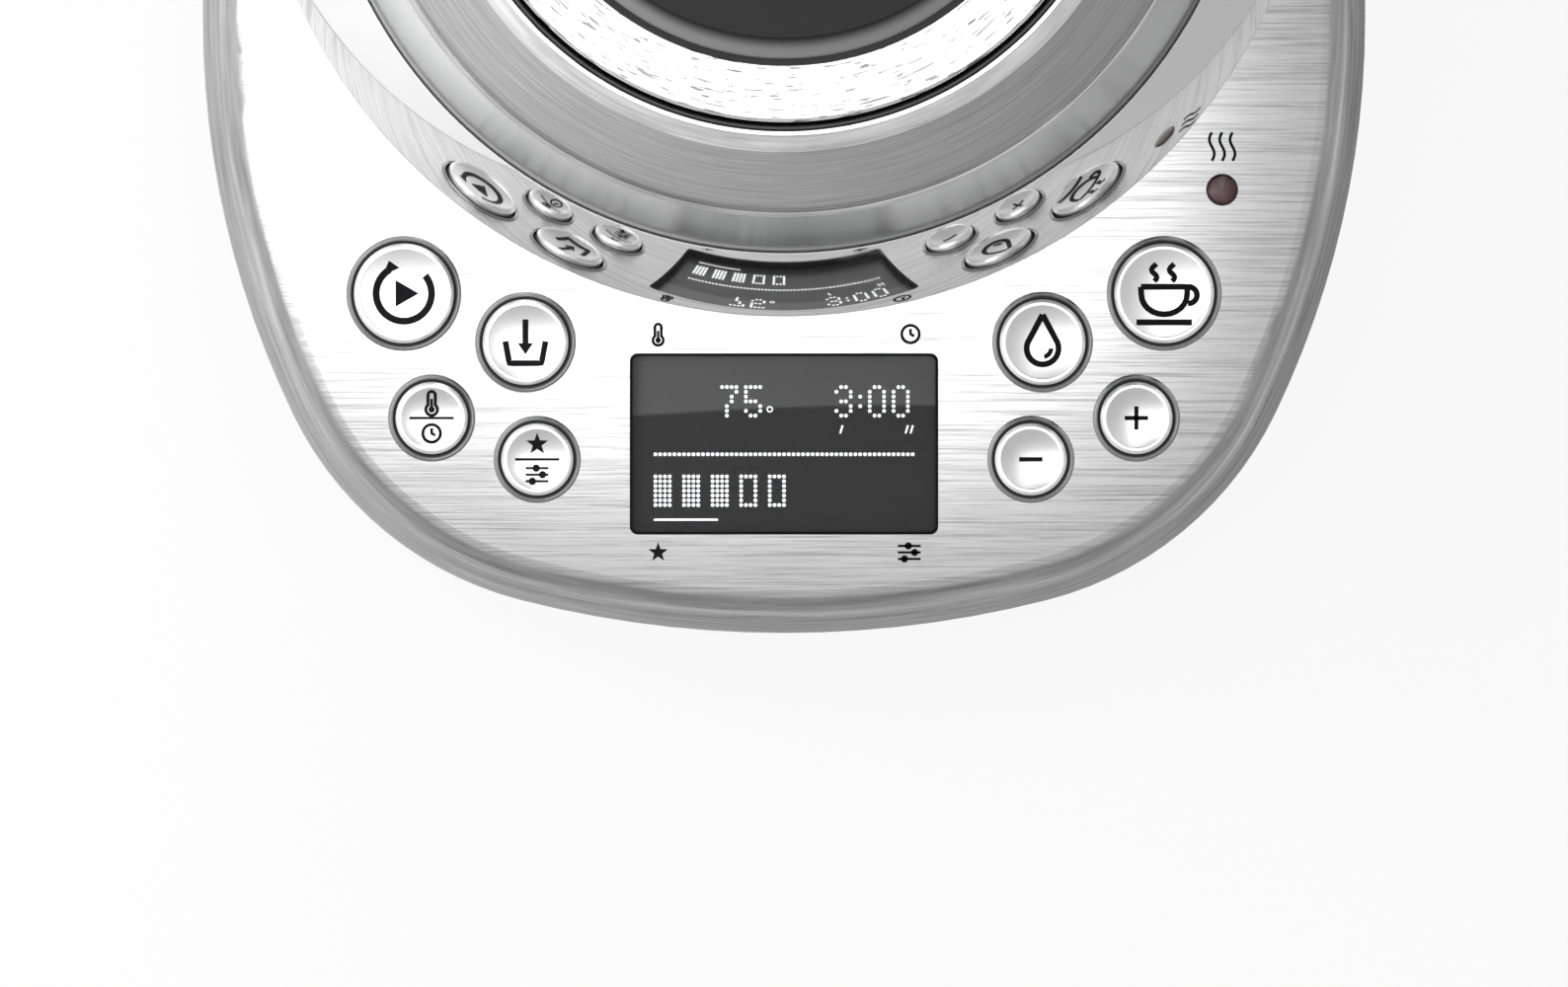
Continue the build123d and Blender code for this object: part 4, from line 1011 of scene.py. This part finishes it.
class MakeDisplay(TeaMakerStep, bpy.types.Operator):
    """Make the display's border, window, face and lit dots"""

    bl_idname = "tea_maker.make_display"
    bl_label = "Display"

    cells = {
        "7": "1111 0001 0010 0010 0100 0100 0100",
        "5": "1111 1000 1000 1110 0001 1001 0110",
        "3": "0110 1001 0001 0110 0001 1001 0110",
        ":": "0 0 1 0 1 0 0",
        "0": "0110 1001 1001 1001 1001 1001 0110",
        "full": "1111 1111 1111 1111 1111 1111 1111",
        "open": "1111 1001 1001 1001 1001 1001 1111",
    }
    # height of the top row, and what it shows from which column on
    rows = [
        (9.2, [("7", -13), ("5", -8), ("3", 11), (":", 16), ("0", 18), ("0", 23)]),
        (-5.3, [("full", -27), ("full", -21), ("full", -15), ("open", -9), ("open", -3)]),
    ]
    rule_dots, rule_height = 55, -1.7
    # the degree ring, the bar under the level blocks, and the slanted minute and second strokes
    degree, bar, strokes = (-2.3, 5.6), [(-21.1, -12.3), (-10.7, -12.3)], [9.5, 20.1, 20.9]
    # depths of the face and of the window's foot under the panel, and the border's width
    face, window, border = 1.2, 1.05, 0.34

    def execute(self, context):
        rim = Extent("lcd_gasket")
        x, y = rim.half - 0.02, (rim.high.y - rim.low.y) / 2 / MM - 0.02
        in_x, in_y = x - self.border, y - self.border
        self.add_layer("screen_border", "ink", [
            (x, y, 1.3, -1.6), (x, y, 1.3, -0.25), (x - 0.08, y - 0.08, 1.2, -0.12),
            (in_x + 0.02, in_y + 0.02, 1.06, -0.12), (in_x + 0.02, in_y + 0.02, 1.06, -1.6),
        ], ["lcd_gasket"], "rubber_black", closed=True)
        self.add_layer("screen_window", "screen_window", [
            (in_x, in_y, 1.04, -self.window), (in_x, in_y, 1.04, -0.2),
            (in_x - 0.1, in_y - 0.1, 0.95, -0.1),
        ], ["lcd_window"])
        self.add_layer("screen_face", "display_face", [
            (in_x, in_y, 1.04, -1.55), (in_x, in_y, 1.04, -self.face),
        ])
        self.make_dots(context.scene.tea_maker_sizes)
        return {"FINISHED"}

    def add_layer(self, name, finish, levels, replaced=(), slot=None, closed=False):
        """A flat piece of the display, or one that is closed on itself, as a border is."""
        mesh = bmesh.new()
        stack(mesh, at_height(SCREEN, PANEL_Z), levels, closed)
        add_piece(mesh, name, finish, "base", replaced)

    def make_dots(self, sizes):
        """The dots and strokes of what the display shows."""
        pitch = sizes.dot_pitch / MM
        radius = sizes.dot / MM / 2
        ink = Print(screen_level(PANEL_Z - self.face * MM), sizes.print_depth)
        for top, signs in self.rows:
            for name, column in signs:
                for row, line in enumerate(self.cells[name].split()):
                    for step, cell in enumerate(line):
                        if cell == "1":
                            ink.disc(((column + step) * pitch, top - row * pitch), radius)
        for step in range(self.rule_dots):
            ink.disc(((step - (self.rule_dots - 1) / 2) * pitch, self.rule_height), radius)
        ink.line(self.bar, 0.34)
        ink.arc(self.degree, 0.42, 0, 360, 0.2, 16)
        for x in self.strokes:
            ink.line([(x, 3.0), (x - 0.4, 1.7)], 0.3)
        add_piece(ink.mesh, "lit_dots", "lit_dots", "base")


class MakePanelMarks(TeaMakerStep, bpy.types.Operator):
    """Print the small marks round the display and over the lamp"""

    bl_idname = "tea_maker.make_panel_marks"
    bl_label = "Panel marks"

    # how far the steam's middle lies over the lamp's
    steam_over = 7.0

    def execute(self, context):
        sizes = context.scene.tea_maker_sizes
        size, stroke = sizes.label_size / MM, sizes.stroke / MM
        ink = Print(screen_level(PANEL_Z), sizes.print_depth)
        for mark, centre in PANEL_MARKS:
            ink.put(mark, centre, size, stroke * 1.05)
        lamp = (Extent("lamp_lens").middle - SCREEN) / MM
        ink.put(steam, (lamp.x, lamp.y + self.steam_over), size * 1.5, stroke)
        add_piece(ink.mesh, "panel_marks", "ink", "base")
        return {"FINISHED"}


class MakeLamp(TeaMakerStep, bpy.types.Operator):
    """Make the domed lens of the indicator lamp"""

    bl_idname = "tea_maker.make_lamp"
    bl_label = "Lamp"

    # the dome's height and its steps, and the flange's depth under the panel and its thickness
    dome, steps = 0.22, 8
    depth, thick = 1.2, 1.0

    def execute(self, context):
        lamp = Extent("lamp_lens")
        lens = lamp.half - LAMP_FLANGE
        under = (PANEL_Z - lamp.high.z) / MM - self.depth
        shares = [step / self.steps for step in range(self.steps)]
        dome = [(lens * share, -self.dome * share ** 2) for share in shares]
        add_turned("lamp_dome", "lamp_red", "base", lamp.top, dome + [
            (lens - 0.12, -0.24), (lens, -0.36), (lens, under), (lamp.half, under),
            (lamp.half, under - self.thick), (lens, under - self.thick), (lens, -lamp.tall),
            (0.0, -lamp.tall),
        ], 64, False, ["lamp_lens"])
        return {"FINISHED"}


class MakeSkirt(TeaMakerStep, bpy.types.Operator):
    """Make the mirror-polished skirt round the jug's foot, and its seal"""

    bl_idname = "tea_maker.make_skirt"
    bl_label = "Skirt"

    taper = 10.6

    def execute(self, context):
        skirt = Extent("jug_skirt")
        foot, tall = skirt.half, skirt.tall
        top = foot - self.taper
        add_turned("skirt_cone", "polished_steel", "jug", JUG, [
            (foot - 1.3, 0.05), (foot, 0.0, 0.25), (top, tall, 0.1),
            (top - 0.35, tall - 0.3, 0.1), (top - 0.45, tall - 1.6),
        ], replaced=["jug_skirt"])
        add_turned("skirt_seal", "seal_grey", "jug", JUG, [
            (top - 1.0, tall - 1.6), (top - 0.42, tall - 1.6), (top - 0.42, tall - 0.5, 0.15),
            (top - 1.0, tall - 0.4, 0.1),
        ])
        return {"FINISHED"}


class MakeGlass(TeaMakerStep, bpy.types.Operator):
    """Make the jug's tapered glass wall with its fire-polished edges"""

    bl_idname = "tea_maker.make_glass"
    bl_label = "Glass"

    wall, taper = 3.0, 7.65

    def execute(self, context):
        glass = Extent("jug_glass")
        low, high = over_jug(glass.low.z), over_jug(glass.high.z)
        foot, top = glass.half, glass.half - self.taper
        add_turned("glass_wall", "clear_glass", "jug", JUG, [
            (foot, low, 0.6), (top, high, 0.9), (top - self.wall, high, 0.9),
            (foot - self.wall, low, 0.6),
        ], replaced=["jug_glass"])
        return {"FINISHED"}


class Collar:
    """The collar's main lines, in millimetres from the jug's axis and over its foot."""

    def __init__(self):
        box = Extent("jug_collar")
        self.bead, self.foot, self.top = box.half, over_jug(box.low.z), over_jug(box.high.z)
        self.wide, self.narrow = self.bead - 1.4, self.bead - 9.8
        self.rim = self.bead - 14.0
        self.cone_foot, self.cone_top = self.foot + 5.4, self.top - 4.2

    def reach(self, height):
        """Distance of the middle of the cone's sheet from the axis, at a height."""
        share = (height - self.cone_foot) / (self.cone_top - self.cone_foot)
        return self.wide - 0.7 - share * (self.wide - self.narrow)


COLLAR = Collar()


class MakeCollar(TeaMakerStep, bpy.types.Operator):
    """Make the spun collar with its bead and rolled rim"""

    bl_idname = "tea_maker.make_collar"
    bl_label = "Collar"

    def execute(self, context):
        c = COLLAR
        piece = add_turned("collar_spun", "brushed_collar", "jug", JUG, [
            (c.bead - 0.75, c.foot, 0.2), (c.bead, c.foot + 0.3, 0.5),
            (c.bead, c.foot + 4.7, 1.6), (c.wide + 0.2, c.foot + 5.0, 0.25),
            (c.wide, c.cone_foot + 0.5), (c.narrow - 0.77, c.cone_top + 2.2, 0.3),
            (c.rim + 0.8, c.top, 0.4), (c.rim, c.top, 0.3), (c.rim, c.top - 1.6, 0.1),
            (c.narrow - 2.66, c.top - 2.1), (c.narrow - 1.06, c.cone_top - 0.5),
            (c.wide - 0.86, c.foot + 4.1), (c.bead - 0.95, c.foot + 4.1),
            (c.bead - 0.75, c.foot + 0.4),
        ], replaced=["jug_collar"])
        # for the spout, and for the handle's drive
        self.cut(piece, reach=(-c.bead - 2, -c.bead + 15), half=11.5,
                 heights=(c.cone_top - 17.5, c.cone_top - 9.8))
        self.cut(piece, reach=(c.bead - 12, c.bead + 4), half=5.85,
                 heights=(c.cone_foot + 2.6, c.cone_foot + 8.6))
        return {"FINISHED"}

    def cut(self, piece, reach, half, heights):
        """Cut a soft-cornered opening through the collar."""
        mesh = bmesh.new()
        corners = [mesh.verts.new(JUG + Vector((x, y, z)) * MM)
                   for x in reach for y in (-half, half) for z in heights]
        for face in ("0132", "4675", "0451", "2376", "0264", "1573"):
            mesh.faces.new([corners[int(corner)] for corner in face])
        bmesh.ops.bevel(mesh, geom=mesh.edges[:], offset=1.0 * MM, segments=2, affect="EDGES")
        bmesh.ops.recalc_face_normals(mesh, faces=mesh.faces)
        cutter = link_mesh(mesh, "cutter")
        opening = piece.modifiers.new("opening", "BOOLEAN")
        opening.operation = "DIFFERENCE"
        opening.solver = "EXACT"
        opening.object = cutter
        apply_modifiers(piece)
        bpy.data.objects.remove(cutter)


class MakeSpout(TeaMakerStep, bpy.types.Operator):
    """Make the pressed steel spout as a smooth beak"""

    bl_idname = "tea_maker.make_spout"
    bl_label = "Spout"

    sections, around = 14, 40
    # half its width and its depth at the collar, and what it loses of both towards the tip
    half, half_loss = 15.0, 9.8
    depth, depth_loss = 20.0, 12.6
    # how far the tip rises, the share by which the keel is narrower, and how round a section is
    rise, keel, roundness = 4.8, 0.38, 0.72

    def execute(self, context):
        spout = Extent("jug_spout")
        tip, top = (JUG.x - spout.low.x) / MM, over_jug(spout.high.z)
        shares = [index / (self.sections - 1) for index in range(self.sections)]
        mesh = bmesh.new()
        outer = [self.section(share, tip, top, 0.0) for share in shares]
        inner = [self.section(share, tip, top, 1.0) for share in reversed(shares)]
        loops = [[mesh.verts.new(point) for point in row] for row in outer + inner]
        skin(mesh, loops, closed=True)
        add_piece(mesh, "spout_beak", "polished_steel", "jug", ["jug_spout"], sharp=40.0)
        return {"FINISHED"}

    def section(self, share, tip, top, inset):
        """Points round the beak at a share of its reach, moved inwards by inset."""
        half = self.half - self.half_loss * share - inset
        crest = top - self.rise + self.rise * share
        high = crest - inset * (2.2 - 1.2 * share)
        low = crest - self.depth + self.depth_loss * share ** 0.8 + inset * 1.3
        points = []
        for cosine, sine in circle(self.around):
            across = math.copysign(abs(cosine) ** self.roundness, cosine)
            upward = math.copysign(abs(sine) ** self.roundness, sine)
            y = half * (1.0 - self.keel * (0.5 - 0.5 * sine)) * across
            z = (high + low) / 2 + (high - low) / 2 * upward
            cone = COLLAR.reach(z)
            root = math.sqrt(max(0.0, cone * cone - y * y)) - 0.4 - inset * 0.4
            points.append(JUG + Vector((-root - (tip - root) * share, y, z)) * MM)
        return points


class MakeLid(TeaMakerStep, bpy.types.Operator):
    """Make the lid's steel ring, dark middle and knob"""

    bl_idname = "tea_maker.make_lid"
    bl_label = "Lid"

    # the ring's width, and how far the knob's neck lies in from its edge
    band, neck = 9.1, 6.9

    def execute(self, context):
        ring, middle, knob = (Extent(node) for node in ("lid_ring", "lid_centre", "lid_knob"))
        outer, inner = ring.half, ring.half - self.band
        add_turned("lid_band", "brushed_ring", "lid", DECK, [
            (inner, 0.0), (inner, ring.tall, 0.35), (outer, ring.tall - 0.65, 0.7), (outer, 0.0),
        ], replaced=["lid_ring"])
        add_turned("lid_middle", "gloss_black", "lid", DECK, [
            (0.0, 0.0), (middle.half, 0.0), (middle.half, middle.tall - 2.0, 0.9),
            (middle.half - LID_BEVEL, middle.tall, 1.6), (0.0, middle.tall),
        ], closed=False, replaced=["lid_centre"])
        foot = at_height(AXIS, knob.low.z)
        wide, tall, neck = knob.half, knob.tall, knob.half - self.neck
        add_turned("knob_turned", "knob_gloss", "lid", foot, [
            (0.0, 0.0), (neck + 1.5, 0.0), (neck, 4.0, 3.0), (neck + 0.5, 10.0, 4.0),
            (wide, tall - 3.4, 1.4), (wide - 1.2, tall - 0.5, 1.0), (wide - 3.0, tall - 0.1, 1.0),
            (0.0, tall - 0.7),
        ], 160, False, ["lid_knob"])
        add_turned("knob_band", "polished_steel", "lid", foot, [
            (wide - 0.9, tall - 3.2), (wide, tall - 3.0, 0.2), (wide, tall - 2.1, 0.2),
            (wide - 0.9, tall - 1.9),
        ], 160)
        return {"FINISHED"}


class MakeBasket(TeaMakerStep, bpy.types.Operator):
    """Make the perforated tea basket and its lid"""

    bl_idname = "tea_maker.make_basket"
    bl_label = "Basket"

    # columns of holes in the side, in the base and in the lid
    side_columns, base_columns, lid_columns = 72, 48, 44
    # segments of the plain parts for each column beside them
    fineness = 8

    def execute(self, context):
        hole = context.scene.tea_maker_sizes.hole / MM / 2
        self.make_cup(hole)
        self.make_lid(hole)
        return {"FINISHED"}

    def make_cup(self, hole):
        """The cup: perforated side and base, and a rolled rim."""
        cup_box = Extent("basket_cup")
        rim, tall, foot = cup_box.half, cup_box.tall, cup_box.foot
        wall = rim - 1.5
        outside, floor, side_foot = wall - 0.1, 0.1, 4.6
        side = [(outside, side_foot + 2.9 * row) for row in range(11)]
        base = [(10.0 + 2.85 * row, floor) for row in range(9)]
        mesh = bmesh.new()
        self.perforate(mesh, foot, side, self.side_columns, hole)
        self.perforate(mesh, foot, base, self.base_columns, hole)
        middle, corner = [(0.0, floor), base[0]], [base[-1], (outside, floor, 2.6), side[0]]
        lathe(mesh, middle, foot, self.fineness * self.base_columns, False)
        lathe(mesh, corner, foot, self.fineness * self.side_columns, False, 6)
        cup = add_piece(mesh, "basket_perforated", "plain_steel", "basket", ["basket_cup"])
        thicken(cup, 0.7)
        add_turned("basket_rim", "plain_steel", "basket", foot, [
            (wall, tall - 4.4), (wall, tall - 3.0), (rim, tall - 3.0, 0.8), (rim, tall, 0.9),
            (wall - 0.9, tall, 0.3), (wall - 0.9, tall - 4.4),
        ], 160)

    def make_lid(self, hole):
        """The basket's lid: perforated disc, and its knob."""
        lid = Extent("basket_lid")
        sheet = 1.4
        rows = [(12.0 + (lid.half - 15.0) / 7 * row, sheet) for row in range(8)]
        mesh = bmesh.new()
        self.perforate(mesh, lid.foot, rows, self.lid_columns, hole)
        edge = [rows[-1], (lid.half - 1.0, sheet, 0.5), (lid.half - 0.2, 0.7)]
        for profile in ([(0.0, sheet), rows[0]], edge):
            lathe(mesh, profile, lid.foot, self.fineness * self.lid_columns, False)
        cover = add_piece(mesh, "basket_cover", "plain_steel", "basket_lid", ["basket_lid"])
        thicken(cover, 0.6)
        add_turned("basket_knob", "black_plastic", "basket_lid", lid.foot, [
            (0.0, sheet), (3.6, sheet), (3.0, 3.4, 0.8), (5.0, lid.tall - 1.6, 0.8),
            (5.0, lid.tall - 0.1, 0.7), (0.0, lid.tall),
        ], 64, False)

    def perforate(self, mesh, centre, rows, columns, hole):
        """A perforated strip round the centre, between rows of (radius, height)."""
        turn = 2 * math.pi / columns
        for index in range(columns):
            for first, second in zip(rows, rows[1:]):
                first, second = Vector(first), Vector(second)
                wide, tall = (first.x + second.x) / 2 * turn, (second - first).length

                def spot(across, up):
                    """A point of the cell, at shares of its width and height."""
                    angle = turn * (index + across)
                    radius, height = first.lerp(second, up)
                    place = Vector((radius * math.cos(angle), radius * math.sin(angle), height))
                    return mesh.verts.new(centre + place * MM)

                rim, edge = [], []
                for x, y in circle(8):
                    far = 0.5 / max(abs(x), abs(y))
                    rim.append(spot(0.5 + hole * x / wide, 0.5 + hole * y / tall))
                    edge.append(spot(0.5 + far * x, 0.5 + far * y))
                skin(mesh, [rim, edge])


class MakeFeet(TeaMakerStep, bpy.types.Operator):
    """Make the ribbed rubber feet"""

    bl_idname = "tea_maker.make_feet"
    bl_label = "Feet"

    radius, front_inset = 8.0, 6.0
    # radius and height of the sole's ribs
    ribs = [(0.0, 0.5), (2.2, 0.5), (2.5, 0.0), (3.4, 0.0), (3.7, 0.5), (5.0, 0.5), (5.3, 0.0),
            (7.4, 0.0)]

    def execute(self, context):
        feet = Extent("rubber_feet")
        profile = self.ribs + [(self.radius, 0.6), (self.radius, feet.tall), (0.0, feet.tall)]
        mesh = bmesh.new()
        for side in (-1, 1):
            x = feet.middle.x + side * (feet.half - self.radius) * MM
            front = (x - side * self.front_inset * MM, feet.low.y + self.radius * MM, 0.0)
            back = (x, feet.high.y - self.radius * MM, 0.0)
            for place in (front, back):
                lathe(mesh, profile, Vector(place), 72, False)
        add_piece(mesh, "feet_ribbed", "rubber_black", "base", ["rubber_feet"])
        return {"FINISHED"}


class MakeScrews(TeaMakerStep, bpy.types.Operator):
    """Make the handle's cross-head screws"""

    bl_idname = "tea_maker.make_screws"
    bl_label = "Handle screws"

    head, head_tall, shank = 2.6, 1.6, 1.3
    # radius, or reach of the cross's arms, and height over the head's seat
    dome = [(1.3, 0.0), (2.6, 0.0), (2.6, 0.8), (2.5, 1.2), (2.2, 1.5), (1.8, 1.6)]
    recess = [(1.55, 1.6), (0.95, 0.5)]
    # half the width of a cross's arm over its reach
    arm = 0.268
    # how far the second screw lies under the highest, and the lowest in from the outermost
    second_drop, lowest_inset = 71.19, 10.6

    def execute(self, context):
        screws = Extent("handle_screws")
        low, high, head = screws.low, screws.high, self.head * MM
        seat = high.y - self.head_tall * MM
        mesh = bmesh.new()
        for x, z in ((low.x + head, high.z - head),
                     (high.x - head, high.z - self.second_drop * MM),
                     (high.x - self.lowest_inset * MM, low.z + head)):
            self.screw(mesh, Vector((x, seat, z)), (low.y - seat) / MM)
        add_piece(mesh, "screws_crossed", "screw_steel", "jug", ["handle_screws"])
        return {"FINISHED"}

    def screw(self, mesh, place, end):
        """One screw along Y, its shank reaching down to end."""
        smooth = [(self.shank, end)] + self.dome
        rings = [self.ring(mesh, place, radius, height, False) for radius, height in smooth]
        rings += [self.ring(mesh, place, radius, height, True) for radius, height in self.recess]
        mesh.faces.new(rings[0])
        mesh.faces.new(rings[-1])
        skin(mesh, rings)

    def ring(self, mesh, place, radius, height, crossed):
        """A round ring, or one in the outline of a cross."""
        ring = []
        for cosine, sine in circle(48):
            small, large = sorted((abs(cosine), abs(sine)))
            share = min(1 / large, self.arm / max(small, 1e-6)) if crossed else 1.0
            spot = Vector((cosine * radius * share, height, sine * radius * share))
            ring.append(mesh.verts.new(place + spot * MM))
        return ring


class MakeStage(TeaMakerStep, bpy.types.Operator):
    """Set the floor, the lights, the surroundings and the camera"""

    bl_idname = "tea_maker.make_stage"
    bl_label = "Stage"

    # in metres: the floor's reach, and how far it lies under the feet
    floor_reach, floor_drop = 6.0, 0.0002
    # the floor's grey in light, and how bright it shows to the camera and in reflections
    floor_grey, floor_shown, floor_mirrored = 0.50, 0.91, 0.12
    sensor = 36.0

    def execute(self, context):
        scene = context.scene
        stage = scene.tea_maker_stage
        scene.view_settings.view_transform = "Standard"
        self.make_floor()
        self.make_world(scene, stage.world)
        self.make_light("soft_box", stage.soft_box, (0.50, 0.50), (-0.15, 0.105, 0.46))
        wash = self.make_light("floor_wash", stage.wash, (0.50, 0.90), (-0.44, -0.15, 0.25))
        wash.visible_glossy = False
        wash.visible_transmission = False
        self.make_camera(scene, stage)
        return {"FINISHED"}

    def make_floor(self):
        """A plain floor that shows pale and keeps the shadow."""
        mesh = bmesh.new()
        bmesh.ops.create_grid(mesh, x_segments=8, y_segments=8, size=self.floor_reach)
        floor = link_mesh(mesh, "floor")
        floor.location = (0, 0, -self.floor_drop)
        material = bpy.data.materials.new("pale_floor")
        material.use_nodes = True
        tree = Tree(material.node_tree)
        ray = tree.node("ShaderNodeLightPath", None, None, None)
        camera, transmission, glossy = (
            Value(tree, ray.outputs[f"Is {kind} Ray"])
            for kind in ("Camera", "Transmission", "Glossy")
        )
        shown = self.floor_shown * (camera + transmission) + self.floor_mirrored * glossy
        grey = tree.node("ShaderNodeBsdfDiffuse", None, {"Color": (self.floor_grey,) * 3})
        white = tree.node("ShaderNodeEmission", None, {"Color": (1.0, 1.0, 1.0), "Strength": 1.0})
        mixed = tree.node("ShaderNodeMixShader", None, {0: shown.clamped(), 1: grey, 2: white})
        tree.node("ShaderNodeOutputMaterial", None, {0: mixed}, None)
        floor.data.materials.append(material)

    def make_world(self, scene, strength):
        """Pale surroundings, brightest at the left, at the back and near the horizon."""
        world = bpy.data.worlds.new("surroundings")
        scene.world = world
        world.use_nodes = True
        tree = Tree(world.node_tree)
        x, y, z = tree.split(tree.node("ShaderNodeTexCoord", output="Generated"))
        left, right, back = (x * -1.0).above(0.35, 0.9), x.above(0.35, 0.9), y.above(-0.1, 0.8)
        horizon = z.above(-0.02, 0.05) * (1.0 - z.above(0.18, 0.42))
        level = 0.50 + 0.50 * left + 0.12 * right + 0.35 * back
        level = level + horizon * (0.52 + 0.10 * left - 0.16 * right)
        colour = tree.join(level, level, level)
        sky = tree.node("ShaderNodeBackground", None, {0: colour, 1: strength})
        tree.node("ShaderNodeOutputWorld", None, {0: sky}, None)

    def make_light(self, name, power, size, place):
        """A soft light that faces down, at a place in metres from the axis, over the floor."""
        light = bpy.data.lights.new(name, "AREA")
        light.shape = "RECTANGLE"
        light.size, light.size_y = size
        light.energy = power
        lamp = bpy.data.objects.new(name, light)
        bpy.context.scene.collection.objects.link(lamp)
        lamp.location = at_height(AXIS, 0.0) + Vector(place)
        lamp.visible_camera = False
        return lamp

    def make_camera(self, scene, stage):
        """A long lens straight above the jug's axis, aimed ahead of it at the panel."""
        data = bpy.data.cameras.new("camera")
        data.lens = stage.lens
        data.sensor_width = self.sensor
        data.clip_start, data.clip_end = 0.1, 60.0
        camera = bpy.data.objects.new("camera", data)
        scene.collection.objects.link(camera)
        distance = stage.picture_width * stage.lens / self.sensor
        camera.location = at_height(AXIS, PANEL_Z + distance)
        camera.rotation_euler = (-math.atan2(stage.look_ahead, distance), 0.0, 0.0)
        scene.camera = camera


OPERATORS = (
    DressSolids, MakeButtons, MakeBezels, MakeDisplay, MakePanelMarks, MakeLamp, MakeSkirt,
    MakeGlass, MakeCollar, MakeSpout, MakeLid, MakeBasket, MakeFeet, MakeScrews, MakeStage,
)


class TeaMakerPanel(bpy.types.Panel):
    """Lists the steps in the sidebar"""

    bl_idname = "VIEW3D_PT_tea_maker"
    bl_label = "Tea maker"
    bl_space_type = "VIEW_3D"
    bl_region_type = "UI"
    bl_category = "Tea maker"

    def draw(self, context):
        for operator in OPERATORS:
            self.layout.operator(operator.bl_idname)


SETTINGS = {
    "tea_maker_finish": TeaMakerFinish,
    "tea_maker_sizes": TeaMakerSizes,
    "tea_maker_stage": TeaMakerStage,
}


def register():
    """Register the settings, the operators and the panel."""
    for name, group in SETTINGS.items():
        bpy.utils.register_class(group)
        setattr(bpy.types.Scene, name, bpy.props.PointerProperty(type=group))
    for each in (*OPERATORS, TeaMakerPanel):
        bpy.utils.register_class(each)


def unregister():
    """Undo register."""
    for each in reversed((*OPERATORS, TeaMakerPanel)):
        bpy.utils.unregister_class(each)
    for name, group in SETTINGS.items():
        delattr(bpy.types.Scene, name)
        bpy.utils.unregister_class(group)


def main():
    """Run every step in order."""
    register()
    for operator in OPERATORS:
        group, name = operator.bl_idname.split(".")
        getattr(getattr(bpy.ops, group), name)()


if __name__ == "__main__":
    main()
